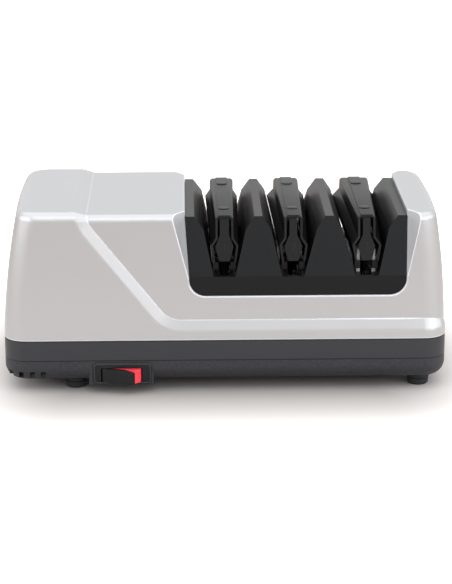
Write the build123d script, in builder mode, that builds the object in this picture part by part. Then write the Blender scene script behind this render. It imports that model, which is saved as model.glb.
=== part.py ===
from build123d import *
from math import cos, radians, sin
import os

os.makedirs("parts", exist_ok=True)

# Electric knife sharpener with three sharpening stages, as an assembly.
# X runs along the body, Y from front (-) to back (+), Z up from the table.
# Sizes are in millimetres. An inset is measured in from the end or face named beside it,
# a rise up from the level named beside it, and a drop down from it.

# ------------------------------------------------------------ driving sizes
# Body
body_length = 247.4  # over the slightly bowed ends
body_depth = 108.0  # over the flat front and back
body_height = 103.5  # top of the proud part, above the table
end_bow = 1.6  # how far an end bows out past its corners
corner_radius = 13.0
end_slope = (0.03, 0.0)  # lean of the left and of the right end above the band
end_curve = 0.0013  # how fast that lean grows with height
wall = 2.6

# Heights of the stacked casings
base_bottom = 7.0
base_top = 19.3
band_top = 30.9
bottom_edge_radius = 8.0
top_edge_radius = 5.0

# Shoulder, the bevelled step between the proud and the recessed part
recess = 1.9  # of the front and back
end_recess = 0.7  # of the right end
shoulder_width = 6.2
shoulder_rise = 11.1  # inner line of the shoulder along its foot, from the band
shoulder_drop = 5.1  # its upper bend, from the top
shoulder_foot_inset = 154.9  # from the right end
shoulder_top_inset = 48.0  # from the left end
shoulder_bend = 14.0
shoulder_round = 6.0  # rounding of its outer edge

# Notch that holds the knife guides
notch_insets = (143.0, 24.4)  # its left and right wall, from the right end
notch_depth = 47.9
notch_radius = 9.0
notch_lean_left = 3.0
notch_lean_right = 0.5
notch_round = 1.0  # rounding all round its rim
facet_rise = 7.4  # foot of a corner facet, from the notch floor
facet_x = 7.4
facet_y = 10.3

# Knife guides
tray_rise = 10.7  # deck of the tray, from the notch floor
tray_inset = 2.6  # its front and back, from those of the body
guide_drop = 5.0  # top of the teeth, from the top of the body
guide_lean = 8.2  # how far the guides lean in from the tray to their top
window_inset = 14.4  # opening in the notch floor, from the tray's front and back
deck = 2.5
slot_half = 2.8  # long slot under each guide post
fit = 0.15  # clearance between pieces that are assembled and stay put

# Stages: centre of each from the right end, half width of its post's neck and bulb
stage_insets = (124.2, 86.4, 46.2)
neck_half = (2.5, 2.1, 1.95)
bulb_half = (5.0, 4.95, 4.7)

# Teeth between the stages: centre, and half widths at three heights
tooth_insets = (105.5, 66.5)  # from the right end
tooth_half_top = (2.2, 2.3)
tooth_half_knee = (6.9, 6.9)
tooth_half_foot = (12.9, 14.2)
knee_drop = 7.0  # from the top of the teeth
wall_tooth_top = 5.0
wall_tooth_knee = 10.0
wall_tooth_foot = (13.5, 15.3)
tooth_screw_inset = 11.4  # from the tray's front and back
tooth_screw_side = 7.0  # from a notch wall
tooth_screw_radius = 1.25
tooth_head_radius = 2.6
tooth_head_height = 1.6
tooth_screw_reach = 6.5

# Guide springs: half widths at the front and at the back
strip = 1.2
strip_fold = 1.2  # bevel along the top edges of a strip
spring_bend = 3.0
spring_proud = 0.9  # springs stand this far out of the leaning front
post_inset = 0.4
spring_over = 0.2  # top of a spring, above the teeth
spring_front_half = (4.9, 4.95, 4.75)
spring_back_half = (6.8, 7.2, 8.4)
spring_front_flare = (7.6, 7.8, 8.0)
spring_back_flare = (9.5, 9.7, 11.0)
spring_foot_half = 6.4
spring_foot_rise = 8.0  # this and the flares, from the deck of the tray
flare_rises = (16.7, 21.2)  # at the front and at the back
rib_half = 3.4
rib_rise = 0.6
rivet_inset = 14.8  # from the front and back of the top of the teeth
rivet_radius = 3.0
rivet_head = 0.9
rivet_length = 7.0

# Guide posts, from the deck of the tray
bulb_top_rise = 22.2
bulb_mid_rise = 16.0
bulb_low_rise = 9.9
bulb_foot_rise = 8.3
lug_rises = (2.9, 6.9)
lug_inner = 3.3
lug_outer = 6.3
lug_inset = 8.0  # face of a lug, from the front and back of the body
lug_depth = 6.0
lug_sheet = 1.2
leg_step = 1.1  # how far a lug stands out over its leg
leg_inset = 5.5  # face of a leg, from the face of its lug
leg_depth = 4.5

# Drive line
drive_drop = 8.6  # from the notch floor
shaft_radius = 3.0
shaft_insets = (14.0, 10.4)  # its ends, from the left and from the right end
running_gap = 0.03
disk_radius = 26.0
hub_radius = 7.5
hub_inner = 2.6
grit_face = 7.2  # outer face of a grit disk at its rim, from the stage centre
grit_thickness = 1.2
disk_dish = 0.7  # a grit disk's rim stands out from its middle by this
strop_face = 8.7
strop_thickness = 3.8
strop_bevel = 1.0
disk_travel = 1.2
disk_side_gap = 1.1  # room beside and around the disks in the guides
disk_gap = 0.05  # clearance of a hub on the shaft, and of a hub's slot on its pin
hub_hold = 1.15  # what a pushed-in hub still overlaps its pin
pin_inset = 0.85  # from the grit face out to the pin's axis
pin_radius = 1.0
pin_length = 12.0
press = 0.02  # clearance of a pressed or glued fit
coil_wire = 0.5
coil_radius = 4.3
coil_seat = 2.4
coil_turns = 4

# Motor, its heights from the drive line
motor_inset = 53.0  # from the left end
stack = 24.0
stack_half = 30.0
stack_drop = 21.0
window_rise = 17.0
core_rises = (26.0, 36.0)
core_inset = 9.0  # end of the core bar, from the side of the stack
rotor_radius = 12.6
air_gap = 0.4
bobbin_wall = 1.2
coil_build = 6.4
bracket_gap = 8.0
bracket_sheet = 3.0
bracket_arm = 2.4
crown_inset = 16.0  # top of a bracket's plate, from the side of the stack
foot_flange = 11.0
bracket_screw_y = 20.0
bracket_head = (2.8, 1.8)  # radius and height
pad_height = 3.4
boss_gap = 3.0  # between a bearing boss and the stack
bush_radius = 5.0
bolt_inset = 5.0  # from the side of the stack
bolt_drop = 13.0
bolt_radius = 2.0
bolt_head = 3.7
fan_room = 6.0  # under the fan
fan_length = 10.0
fan_gap = 3.0
fan_plate = 1.4
fan_hub = 7.0
blade_count = 9
blade_sheet = 1.2
blade_turn = 18.0
stand_inset = 15.9  # from the right end
stand_length = 6.0
stand_waist = 7.0  # half width of the stand over its foot, past the bushing

# Power switch
bezel_inset = 66.4  # from the left end
bezel_length = 32.8
bezel_low = 5.8
bezel_high = 18.3
bezel_proud = 0.8
bezel_radius = 2.6
pod_margin = 2.2
pod_below = 0.5  # how far the pod reaches below the bezel
pod_radius = 1.5
rocker_shift = 0.4  # the rocker sits this far left of the bezel's middle
rocker_setback = 2.64  # its pivot, behind the front
rocker_low = 7.1
rocker_high = 14.9
rocker_end = 11.1
rocker_face = 6.2
rocker_tilt = 17.0
rocker_gap = 0.3
rocker_back = 2.0  # flat back of the rocker, behind its pivot
rocker_side = 8.1  # right end of its face, from the pivot
cap_thickness = 1.9
cap_drop = (4.8, 1.15)  # length and depth of the sloped corner of the cap
pivot_radius = 1.2
pivot_reach = 1.0
switch_wall = 2.4
switch_length = 18.0
terminal_pitch = 8.0
terminal_length = 7.0
terminal_half = (2.4, 0.4)

# Underside, rear and fixings
foot_radius = 6.2
foot_insets = (40.1, 15.2)  # from the left and from the right end
foot_y_inset = 15.5  # from the front and back
foot_groove = 3.2  # groove round a foot, below its top
foot_seat = 2.6  # height of the screw head's seat inside a foot
vent_width = 2.7
vent_pitch = 6.1
vent_count = 4
vent_inset = 4.3  # from the left end to the first slot
vent_top = 12.8
vent_depth = 5.0
case_screw_insets = (30.7, 30.3)  # from the left and from the right end
case_screw_y_inset = 11.0  # from the front and back
boss_radius = 4.2
screw_radius = 1.5
head_radius = 3.0
head_height = 2.0
gland_inset = 63.0  # from the left end
gland_rise = 4.9  # from the floor of the base
gland_radius = 4.0
gland_bore = 3.0
gland_flange = 5.2
gland_lip = 4.6
gland_block = 6.0  # thickness of the wall that holds the gland
gland_reach = 5.6  # how far the gland stands out of the rear
door_insets = (135.4, 33.4)  # both from the right end
door_half = 27.0
door_sheet = 1.6
magnet_size = (30.0, 12.0, 2.0)
dresser_inset = 11.4  # from the rear
dresser_turn = 6.0
dresser_pin = 2.0
fork_drop = (13.0, 1.0)  # its foot and top, from the drive line
fork_near = 18.0
fork_bar = (10.0, 6.5)  # near and far face of the fork's bar, from its pivot
tine = 2.4
pad_thickness = 2.0
pad_length = 9.0
pad_room = 0.35
tab_low = 10.4
tab_high = 14.6
tab_half = 3.0
tab_swing = 3.2  # room beside the tab in its slot
tab_reach = 4.0
tab_gap = 0.6
tab_radius = 1.4

# ------------------------------------------------------------ derived sizes
half_length = body_length / 2
half_depth = body_depth / 2
recess_top = body_height - recess
skin_y = half_depth - recess
floor_z = base_bottom + wall
pad_top = floor_z + pad_height

shoulder_z = band_top + shoulder_rise
shoulder_top_z = body_height - shoulder_drop
shoulder_foot_x = half_length - shoulder_foot_inset
shoulder_top_x = -half_length + shoulder_top_inset
notch_left, notch_right = (half_length - inset for inset in notch_insets)
notch_floor = body_height - notch_depth
facet_foot_z = notch_floor + facet_rise

tray_top = notch_floor + tray_rise
tray_face_y = half_depth - tray_inset
floor_window = tray_face_y - window_inset
guide_top = body_height - guide_drop
guide_top_y = tray_face_y - guide_lean
knee_z = guide_top - knee_drop
stage_x = [half_length - inset for inset in stage_insets]
tooth_centres = [half_length - inset for inset in tooth_insets]
tooth_screw_y = tray_face_y - tooth_screw_inset
spring_top_z = guide_top + spring_over
spring_foot_z = tray_top + spring_foot_rise
rivet_y = guide_top_y - rivet_inset
lug_low, lug_high = (tray_top + rise for rise in lug_rises)
lug_face_y = half_depth - lug_inset

drive_z = notch_floor - drive_drop
shaft_left = -half_length + shaft_insets[0]
shaft_right = half_length - shaft_insets[1]
window_half = (grit_face + disk_side_gap, grit_face + disk_side_gap, strop_face + disk_side_gap)
disk_window = disk_radius + 2 * disk_side_gap
pin_place = grit_face + pin_inset
slot_face = pin_place - pin_radius - disk_gap
hub_outer = slot_face + disk_travel + hub_hold

motor_x = -half_length + motor_inset
stack_low = drive_z - stack_drop
window_low = drive_z + window_rise
core_low, core_high = (drive_z + rise for rise in core_rises)
core_half = stack_half - core_inset
bolt_y = stack_half - bolt_inset
bolt_z = drive_z - bolt_drop
bracket_front = motor_x + stack / 2 + bracket_gap
bracket_rear = motor_x - stack / 2 - bracket_gap - bracket_sheet
fan_right = bracket_rear - fan_gap
fan_left = fan_right - fan_length
fan_radius = drive_z - pad_top - fan_room
stand_x = half_length - stand_inset

bezel_x = -half_length + bezel_inset
bezel_left = bezel_x - bezel_length / 2
bezel_right = bezel_x + bezel_length / 2
rocker_x = bezel_x - rocker_shift
rocker_y = -half_depth + rocker_setback
switch_half = rocker_end + switch_wall
switch_low = bezel_low + 0.4
switch_high = rocker_high + 1.8
switch_back = -half_depth + switch_length
well_half = rocker_end + rocker_gap
well_low = rocker_low - rocker_gap
well_high = rocker_high + rocker_gap
well_back = (
    rocker_y
    + rocker_end * sin(radians(rocker_tilt))
    + rocker_back * cos(radians(rocker_tilt))
    + rocker_gap
)

gland_x = -half_length + gland_inset
gland_z = floor_z + gland_rise
gland_wall = half_depth - gland_block
door_left, door_right = (half_length - inset for inset in door_insets)
case_screw_y = half_depth - case_screw_y_inset
foot_y = half_depth - foot_y_inset
dresser_x = stage_x[2]
dresser_y = half_depth - dresser_inset
tab_slot = tab_half + tab_swing
fork_low, fork_high = (drive_z - drop for drop in fork_drop)
bar_near, bar_far = (dresser_y - reach for reach in fork_bar)
pad_inner = strop_face + (dresser_y - fork_near) * sin(radians(dresser_turn)) + pad_room
fork_half = pad_inner + pad_thickness + tine


def end_x(z):
    """Reach of the left and of the right end, halfway along it, at height z."""
    rise = max(z - band_top, 0)
    return [half_length - slope * rise - end_curve * rise**2 for slope in end_slope]


def notch_x(z):
    """Left and right wall of the notch at height z."""
    share = (z - notch_floor) / (body_height - notch_floor)
    return notch_left - notch_lean_left * share, notch_right + notch_lean_right * share


def face_y(z, inset=0.0):
    """How far the leaning front and back of the guides reach at height z."""
    share = (z - tray_top) / (guide_top - tray_top)
    return tray_face_y - guide_lean * share - inset


# ------------------------------------------------------------ shared shapes
def body_plan(z, inset=0.0, end_inset=0.0):
    """Plan of the body at height z, its sides and its ends moved in."""
    left, right = (reach - end_inset for reach in end_x(z))
    side = half_depth - inset
    with BuildSketch(Plane.XY.offset(z)) as plan:
        with BuildLine():
            Line((end_bow - left, -side), (right - end_bow, -side))
            ThreePointArc((right - end_bow, -side), (right, 0), (right - end_bow, side))
            Line((right - end_bow, side), (end_bow - left, side))
            ThreePointArc((end_bow - left, side), (-left, 0), (end_bow - left, -side))
        make_face()
        fillet(plan.vertices(), corner_radius - inset / 2)
    return plan.sketch


def body_form(low, high, inset, end_inset, edge_radius=0.0):
    """Solid body between two heights, its ends leaning in as they rise."""
    with BuildPart() as form:
        loft(sections=[body_plan(z, inset, end_inset) for z in (low, (low + high) / 2, high)])
        if edge_radius:
            fillet(form.faces().sort_by(Axis.Z)[-1].edges(), edge_radius)
    return form.part


def notch_outline(grow):
    """Front view of the notch, grown outwards by a margin, open at the top."""
    over = body_height + 5
    low_left, low_right = notch_x(notch_floor - grow)
    top_left, top_right = notch_x(over)
    with BuildSketch(Plane.XZ) as outline:
        with BuildLine():
            Polyline(
                (top_left - grow, over),
                (low_left - grow, notch_floor - grow),
                (low_right + grow, notch_floor - grow),
                (top_right + grow, over),
                close=True,
            )
        make_face()
        fillet(outline.vertices().group_by(Axis.Z)[0], notch_radius + grow)
    return outline.sketch


def guide_slab(inset=0.0, low=tray_top):
    """Block between the leaning front and back of the guides."""
    high = guide_top + 3
    with BuildPart() as slab:
        with BuildSketch(Plane.YZ):
            with BuildLine():
                Polyline(
                    (-face_y(low, inset), low),
                    (face_y(low, inset), low),
                    (face_y(high, inset), high),
                    (-face_y(high, inset), high),
                    close=True,
                )
            make_face()
        extrude(amount=half_length, both=True)
    return slab.part


def round_bar(x_from, x_to, radius, bore=0.0):
    """Bar or tube on the drive axis between two places along it."""
    with BuildPart() as bar:
        with BuildSketch(Plane.YZ.offset(x_from)):
            with Locations((0, drive_z)):
                Circle(radius)
                if bore:
                    Circle(bore, mode=Mode.SUBTRACT)
        extrude(amount=x_to - x_from)
    return bar.part


def post_bar(x, y, low, high, radius):
    """Upright round bar."""
    with BuildPart() as bar:
        with BuildSketch(Plane.XY.offset(low)):
            with Locations((x, y)):
                Circle(radius)
        extrude(amount=high - low)
    return bar.part


def block(x_range, y_range, z_range):
    """Block given by its range along each axis."""
    size = [high - low for low, high in (x_range, y_range, z_range)]
    middle = [(high + low) / 2 for low, high in (x_range, y_range, z_range)]
    with BuildPart() as solid:
        with Locations(tuple(middle)):
            Box(*size)
    return solid.part


def save(builder, name):
    """Labels a finished piece and writes its file."""
    builder.part.label = name
    export_step(builder.part, f"parts/{name}.step")


# ------------------------------------------------------------ fixing places
foot_places = [
    (end * (half_length - inset), side * foot_y)
    for end, inset in zip((-1, 1), foot_insets)
    for side in (-1, 1)
]
case_screw_places = [
    (end * (half_length - inset), side * case_screw_y)
    for end, inset in zip((-1, 1), case_screw_insets)
    for side in (-1, 1)
]
bracket_screw_places = [
    (bracket_front + bracket_sheet + foot_flange / 2, -bracket_screw_y),
    (bracket_front + bracket_sheet + foot_flange / 2, bracket_screw_y),
    (bracket_rear - foot_flange / 2, -bracket_screw_y),
    (bracket_rear - foot_flange / 2, bracket_screw_y),
    (stand_x, -bracket_screw_y),
    (stand_x, bracket_screw_y),
]


def boss_top(x):
    """Height of the casing's boss over a case screw, under the notch or beside it."""
    under_notch = notch_left < x < notch_right
    return (notch_floor if under_notch else 2 * band_top) - wall / 2


# ------------------------------------------------------------ top housing
# A chamfer run round the edge of the proud part makes the sweeping shoulder.
with BuildPart() as proud_part:
    add(body_form(band_top, body_height, 0, 0, top_edge_radius))
    with BuildSketch(Plane.XZ):
        with BuildLine():
            FilletPolyline(
                (shoulder_top_x, body_height + 10),
                (shoulder_top_x, shoulder_top_z),
                (shoulder_foot_x, shoulder_z),
                (half_length + 10, shoulder_z),
                radius=shoulder_bend,
            )
            Polyline(
                (half_length + 10, shoulder_z),
                (half_length + 10, band_top - 5),
                (-half_length - 10, band_top - 5),
                (-half_length - 10, body_height + 10),
                (shoulder_top_x, body_height + 10),
            )
        make_face()
    extrude(amount=body_depth, both=True, mode=Mode.INTERSECT)
    front = proud_part.faces().sort_by(Axis.Y)[0]
    step = front.edges().filter_by_position(Axis.Z, shoulder_z - 0.01, shoulder_z + 0.01)
    chamfer(step, length=shoulder_width, length2=recess - 0.05, reference=front)
    crest_z = shoulder_z - shoulder_width
    crest = proud_part.edges().filter_by_position(Axis.Z, crest_z - 0.01, crest_z + 0.01)
    fillet(crest.sort_by(Axis.Y)[0], shoulder_round)


def facet_cutter(side_x, side_y):
    """Wedge that takes a leaning flat off one upright corner of the notch."""
    rise = 4.0
    foot_x = notch_x(facet_foot_z)[(side_x + 1) // 2]
    top_x = notch_x(recess_top)[(side_x + 1) // 2]
    grow = (recess_top + rise - facet_foot_z) / (recess_top - facet_foot_z)
    corner = Vector(foot_x + (top_x - foot_x) * grow, side_y * skin_y)
    along = Vector(side_x * facet_x * grow, 0)
    across = Vector(0, -side_y * facet_y * grow)
    over = (along - across) * 0.4
    with BuildPart() as wedge:
        with BuildSketch(Plane.XY.offset(recess_top + rise)) as mouth:
            with BuildLine():
                Polyline(
                    corner + along + over,
                    corner + across - over,
                    corner - (along + across),
                    close=True,
                )
            make_face()
        loft(sections=[mouth.sketch, Vertex(foot_x, side_y * skin_y, facet_foot_z)])
    return wedge.part


with BuildPart() as hollow:
    add(body_form(band_top - 1, recess_top - wall, recess + wall, end_recess + wall))
    extrude(notch_outline(wall), amount=body_depth, both=True, mode=Mode.SUBTRACT)
    for side_x, wall_x in zip((-1, 1), notch_x(recess_top)):
        reach = sorted((wall_x, wall_x + side_x * (facet_x + 1.5 * wall)))
        for side_y in (-1, 1):
            depth = sorted((side_y * (skin_y - facet_y - wall), side_y * half_depth))
            add(block(reach, depth, (notch_floor - wall, body_height)), mode=Mode.SUBTRACT)

with BuildPart() as top_housing:
    add(proud_part.part)
    add(body_form(band_top, recess_top, recess, end_recess, top_edge_radius - 1))
    extrude(notch_outline(0), amount=body_depth, both=True, mode=Mode.SUBTRACT)
    rim = top_housing.edges().filter_by_position(Axis.Z, notch_floor - 0.01, notch_floor + 0.01)
    fillet(rim.sort_by(Axis.Y)[0], notch_round)
    for side_x in (-1, 1):
        for side_y in (-1, 1):
            add(facet_cutter(side_x, side_y), mode=Mode.SUBTRACT)
    add(hollow.part, mode=Mode.SUBTRACT)
    add(
        block(
            (notch_left + notch_radius, notch_right - notch_radius),
            (-floor_window, floor_window),
            (notch_floor - 2 * wall, notch_floor + wall),
        ),
        mode=Mode.SUBTRACT,
    )
    for x, y in case_screw_places:
        add(post_bar(x, y, band_top, boss_top(x), boss_radius))
        rib = sorted((y, (abs(y) / y) * (skin_y - wall / 2)))
        add(block((x - wall / 2, x + wall / 2), rib, (band_top, boss_top(x))))
        hole = (x, y, band_top - 1, boss_top(x) - 1.5 * wall)
        add(post_bar(*hole, screw_radius + fit / 3), mode=Mode.SUBTRACT)

# ------------------------------------------------------------ trim band
with BuildPart() as trim_band:
    extrude(body_plan(base_top), amount=band_top - base_top)
    extrude(body_plan(base_top, wall, wall), amount=band_top - base_top, mode=Mode.SUBTRACT)
    band_edges = trim_band.faces().sort_by(Axis.Z)[-1].outer_wire().edges()
    chamfer(band_edges, 0.5)

# ------------------------------------------------------------ base pan
with BuildPart() as pan_hollow:
    extrude(body_plan(floor_z, wall, wall), amount=base_top)
    fillet(pan_hollow.faces().sort_by(Axis.Z)[0].edges(), bottom_edge_radius - wall)

with BuildPart() as switch_pod:
    pod_x = (bezel_left - pod_margin, bezel_right + pod_margin / 2)
    add(block(pod_x, (-half_depth, switch_back), (bezel_low - pod_below, base_top)))
    fillet(switch_pod.edges().filter_by(Axis.Z).group_by(Axis.Y)[0], pod_radius)

with BuildPart() as vent_slots:
    for count in range(vent_count):
        x = -half_length + vent_inset + count * vent_pitch
        width = (x - vent_width / 2, x + vent_width / 2)
        add(block(width, (-half_depth - 1, half_depth + 1), (base_bottom - 1, vent_top)))
    extrude(body_plan(base_bottom - 2, vent_depth, vent_depth), amount=base_top, mode=Mode.SUBTRACT)

with BuildPart() as base_pan:
    extrude(body_plan(base_bottom), amount=base_top - base_bottom)
    fillet(base_pan.faces().sort_by(Axis.Z)[0].edges(), bottom_edge_radius)
    add(pan_hollow.part, mode=Mode.SUBTRACT)
    add(switch_pod.part)
    gland_seat = (gland_x - gland_flange - wall, gland_x + gland_flange + wall)
    add(block(gland_seat, (gland_wall, half_depth), (base_bottom, base_top)))
    # Seat of the switch, open to the front
    add(
        block(
            (rocker_x - switch_half - fit, rocker_x + switch_half + fit),
            (-half_depth - 1, switch_back + fit),
            (switch_low - fit, switch_high + fit),
        ),
        mode=Mode.SUBTRACT,
    )
    # Cooling slots round the bottom edge at the motor end, front and back
    add(vent_slots.part, mode=Mode.SUBTRACT)
    # Bosses for the case screws, pads for the brackets and the dresser's pivot
    for x, y in case_screw_places:
        add(post_bar(x, y, floor_z - 1, band_top, boss_radius))
        add(post_bar(x, y, base_bottom - 1, band_top + 1, screw_radius + fit), mode=Mode.SUBTRACT)
        add(
            post_bar(x, y, base_bottom - 1, floor_z + head_height, head_radius + fit),
            mode=Mode.SUBTRACT,
        )
    for x, y in bracket_screw_places:
        add(post_bar(x, y, floor_z - 1, pad_top, boss_radius))
        add(post_bar(x, y, floor_z, pad_top + 1, screw_radius + fit / 3), mode=Mode.SUBTRACT)
    for x, y in foot_places:
        add(post_bar(x, y, floor_z - 1, pad_top + 2, boss_radius))
        add(post_bar(x, y, base_bottom - 1, pad_top, screw_radius + fit / 3), mode=Mode.SUBTRACT)
    add(post_bar(dresser_x, dresser_y, floor_z - 1, tab_low - fit, boss_radius))
    add(post_bar(dresser_x, dresser_y, floor_z - 1, pad_top, dresser_pin), mode=Mode.SUBTRACT)
    # Slot of the dresser's tab and hole of the cord gland, in the rear wall
    add(
        block(
            (dresser_x - tab_slot, dresser_x + tab_slot),
            (half_depth - 2 * wall, half_depth + 1),
            (tab_low - tab_gap, tab_high + tab_gap),
        ),
        mode=Mode.SUBTRACT,
    )
    with BuildSketch(Plane.XZ.offset(-half_depth - 1)):
        with Locations((gland_x, gland_z)):
            Circle(gland_radius + fit)
    extrude(amount=gland_block + 2, mode=Mode.SUBTRACT)
    # Opening under the disks for the clean-out cover, with a ledge round it
    add(
        block((door_left, door_right), (-door_half, door_half), (base_bottom - 1, floor_z + 1)),
        mode=Mode.SUBTRACT,
    )
    add(
        block(
            (door_left - wall, door_right + wall),
            (-door_half - wall, door_half + wall),
            (base_bottom - 1, base_bottom + door_sheet / 2),
        ),
        mode=Mode.SUBTRACT,
    )

# ------------------------------------------------------------ knife guides
with BuildPart() as guide_tray:
    extrude(notch_outline(-fit), amount=tray_face_y, both=True)
    add(block((-half_length, half_length), (-half_depth, half_depth), (tray_top, 2 * body_height)),
        mode=Mode.SUBTRACT)
    add(
        block(
            (notch_left + notch_radius, notch_right - notch_radius),
            (-tray_face_y + deck, tray_face_y - deck),
            (notch_floor - 1, tray_top - deck),
        ),
        mode=Mode.SUBTRACT,
    )
    for centre, half in zip(stage_x, window_half):
        window = ((centre - half, centre + half), (-disk_window, disk_window))
        add(block(*window, (notch_floor, tray_top + 1)), mode=Mode.SUBTRACT)
        slot = ((centre - slot_half, centre + slot_half), (-tray_face_y + deck, tray_face_y - deck))
        add(block(*slot, (notch_floor, tray_top + 1)), mode=Mode.SUBTRACT)


def disk_pockets():
    """Room for the disks in the teeth on either side of each stage."""
    with BuildPart() as pockets:
        for centre, half in zip(stage_x, window_half):
            add(
                block(
                    (centre - half, centre + half),
                    (-disk_window, disk_window),
                    (tray_top - 1, drive_z + disk_radius + disk_side_gap),
                )
            )
    return pockets.part


def make_tooth(points):
    """A guide tooth from its front outline, with leaning ends and disk pockets."""
    with BuildPart() as tooth:
        with BuildSketch(Plane.XZ):
            with BuildLine():
                Polyline(*points, close=True)
            make_face()
        extrude(amount=body_depth, both=True)
        add(guide_slab(), mode=Mode.INTERSECT)
        add(disk_pockets(), mode=Mode.SUBTRACT)
    return tooth


def free_tooth_points(index):
    """Front outline of a tooth between two stages."""
    centre = tooth_centres[index]
    right = [
        (centre + tooth_half_foot[index], tray_top),
        (centre + tooth_half_knee[index], knee_z),
        (centre + tooth_half_top[index], guide_top),
    ]
    left = [(2 * centre - x, z) for x, z in reversed(right)]
    return right + left


def wall_tooth_points(side):
    """Front outline of the tooth against one wall of the notch."""
    index = (side + 1) // 2
    foot_x, top_x = notch_x(tray_top)[index], notch_x(guide_top)[index]
    return [
        (foot_x - side * fit, tray_top),
        (top_x - side * fit, guide_top),
        (top_x - side * wall_tooth_top, guide_top),
        (top_x - side * wall_tooth_knee, knee_z),
        (foot_x - side * wall_tooth_foot[index], tray_top),
    ]


tooth_left = make_tooth(wall_tooth_points(-1))
tooth_middle_a = make_tooth(free_tooth_points(0))
tooth_middle_b = make_tooth(free_tooth_points(1))
tooth_right = make_tooth(wall_tooth_points(1))

# Screws that hold the teeth, from below through the deck
tooth_screw_columns = (
    notch_left + tooth_screw_side,
    *tooth_centres,
    notch_right - tooth_screw_side,
)
tooth_screw_places = [(x, side * tooth_screw_y) for x in tooth_screw_columns for side in (-1, 1)]
thread_radius = tooth_screw_radius + 0.05
head_seat = tray_top - deck
for tooth in (tooth_left, tooth_middle_a, tooth_middle_b, tooth_right):
    with tooth:
        for x, y in tooth_screw_places:
            hole = (x, y, tray_top - 1, tray_top + tooth_screw_reach + 0.5)
            add(post_bar(*hole, thread_radius), mode=Mode.SUBTRACT)
with guide_tray:
    for x, y in tooth_screw_places:
        add(post_bar(x, y, notch_floor - 1, tray_top + 1, thread_radius), mode=Mode.SUBTRACT)
        add(post_bar(x, y, notch_floor - 1, head_seat, tooth_head_radius + 0.4), mode=Mode.SUBTRACT)
with BuildPart() as tooth_screws:
    for x, y in tooth_screw_places:
        add(post_bar(x, y, head_seat, tray_top + tooth_screw_reach, tooth_screw_radius))
        add(post_bar(x, y, head_seat - tooth_head_height, head_seat, tooth_head_radius))

# ------------------------------------------------------------ guide posts

def make_guide_post(index):
    """Rail with a narrow neck and a six-sided foot, on four short legs."""
    centre, neck, bulb = stage_x[index], neck_half[index], bulb_half[index]
    leg_face = lug_face_y - leg_inset
    outline = [
        (centre + neck, spring_top_z - strip),
        (centre + neck, tray_top + bulb_top_rise),
        (centre + bulb, tray_top + bulb_mid_rise),
        (centre + 0.68 * bulb, tray_top + bulb_low_rise),
        (centre + 0.5 * bulb, tray_top + bulb_foot_rise),
    ]
    mirrored = [(2 * centre - x, z) for x, z in reversed(outline)]
    with BuildPart() as post:
        with BuildSketch(Plane.XZ):
            with BuildLine():
                Polyline(*outline, *mirrored, close=True)
            make_face()
        extrude(amount=body_depth, both=True)
        add(guide_slab(post_inset), mode=Mode.INTERSECT)
        for side_x in (-1, 1):
            for side_y in (-1, 1):
                lug_y = sorted((side_y * lug_face_y, side_y * (lug_face_y - lug_depth)))
                leg_y = sorted(side_y * (leg_face - depth) for depth in (0, leg_depth))
                lug = sorted((centre + side_x * lug_inner, centre + side_x * lug_outer))
                leg = sorted((centre + side_x * lug_inner, centre + side_x * (lug_outer - leg_step)))
                link = sorted((centre, centre + side_x * (lug_outer - leg_step)))
                root = sorted((centre, centre + side_x * 0.5 * bulb))
                add(block(lug, lug_y, (lug_low, lug_high)))
                add(block(leg, leg_y, (tray_top, lug_high)))
                add(block(link, leg_y, (lug_high - lug_sheet, spring_foot_z - 2 * fit)))
                add(block(root, leg_y, (lug_high - lug_sheet, spring_foot_z + lug_sheet)))
        for side_y in (-1, 1):
            hole = (centre, side_y * rivet_y, spring_top_z - 8, spring_top_z)
            add(post_bar(*hole, rivet_radius / 2 + 0.05), mode=Mode.SUBTRACT)
    return post


# ------------------------------------------------------------ guide springs
def strip_outline(y, centre, top_half, flare_half, flare_z):
    """Front view of a folded spring strip on the plane at depth y."""
    straight_z = flare_z + spring_bend + (flare_half - top_half) * 0.4
    outer = [
        (centre + spring_foot_half, spring_foot_z),
        (centre + flare_half, flare_z),
        (centre + top_half, straight_z),
        (centre + top_half, spring_top_z - strip_fold),
        (centre + top_half - strip_fold, spring_top_z),
    ]
    inner = [
        (centre + spring_foot_half - strip, spring_foot_z),
        (centre + flare_half - strip, flare_z - 0.3),
        (centre + top_half - strip, straight_z - 0.3),
        (centre + top_half - strip, spring_top_z - strip_fold - strip / 2),
        (centre + top_half - strip_fold - strip / 2, spring_top_z - strip),
    ]
    outer_left = [(2 * centre - x, z) for x, z in reversed(outer)]
    inner_left = [(2 * centre - x, z) for x, z in inner]
    with BuildSketch(Plane.XZ.offset(-y)) as outline:
        with BuildLine():
            Polyline(*outer, *outer_left, *inner_left, *reversed(inner), close=True)
        make_face()
    return outline.sketch


def make_guide_spring(index):
    """Folded strip that hugs the post and widens towards the back."""
    centre = stage_x[index]
    front = (spring_front_half[index], spring_front_flare[index], tray_top + flare_rises[0])
    back = (spring_back_half[index], spring_back_flare[index], tray_top + flare_rises[1])
    with BuildPart() as spring:
        sections = [
            strip_outline(-tray_face_y, centre, *front),
            strip_outline(tray_face_y, centre, *back),
        ]
        loft(sections=sections, ruled=True)
        add(
            block(
                (centre - rib_half, centre + rib_half),
                (-half_depth, half_depth),
                (spring_top_z - strip, spring_top_z + rib_rise),
            )
        )
        add(guide_slab(-spring_proud, spring_foot_z), mode=Mode.INTERSECT)
        for side_y in (-1, 1):
            hole = (centre, side_y * rivet_y, spring_top_z - 3, spring_top_z + 2)
            add(post_bar(*hole, rivet_radius / 2 + 0.05), mode=Mode.SUBTRACT)
    return spring


guide_posts = [make_guide_post(index) for index in range(3)]
guide_springs = [make_guide_spring(index) for index in range(3)]

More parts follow.
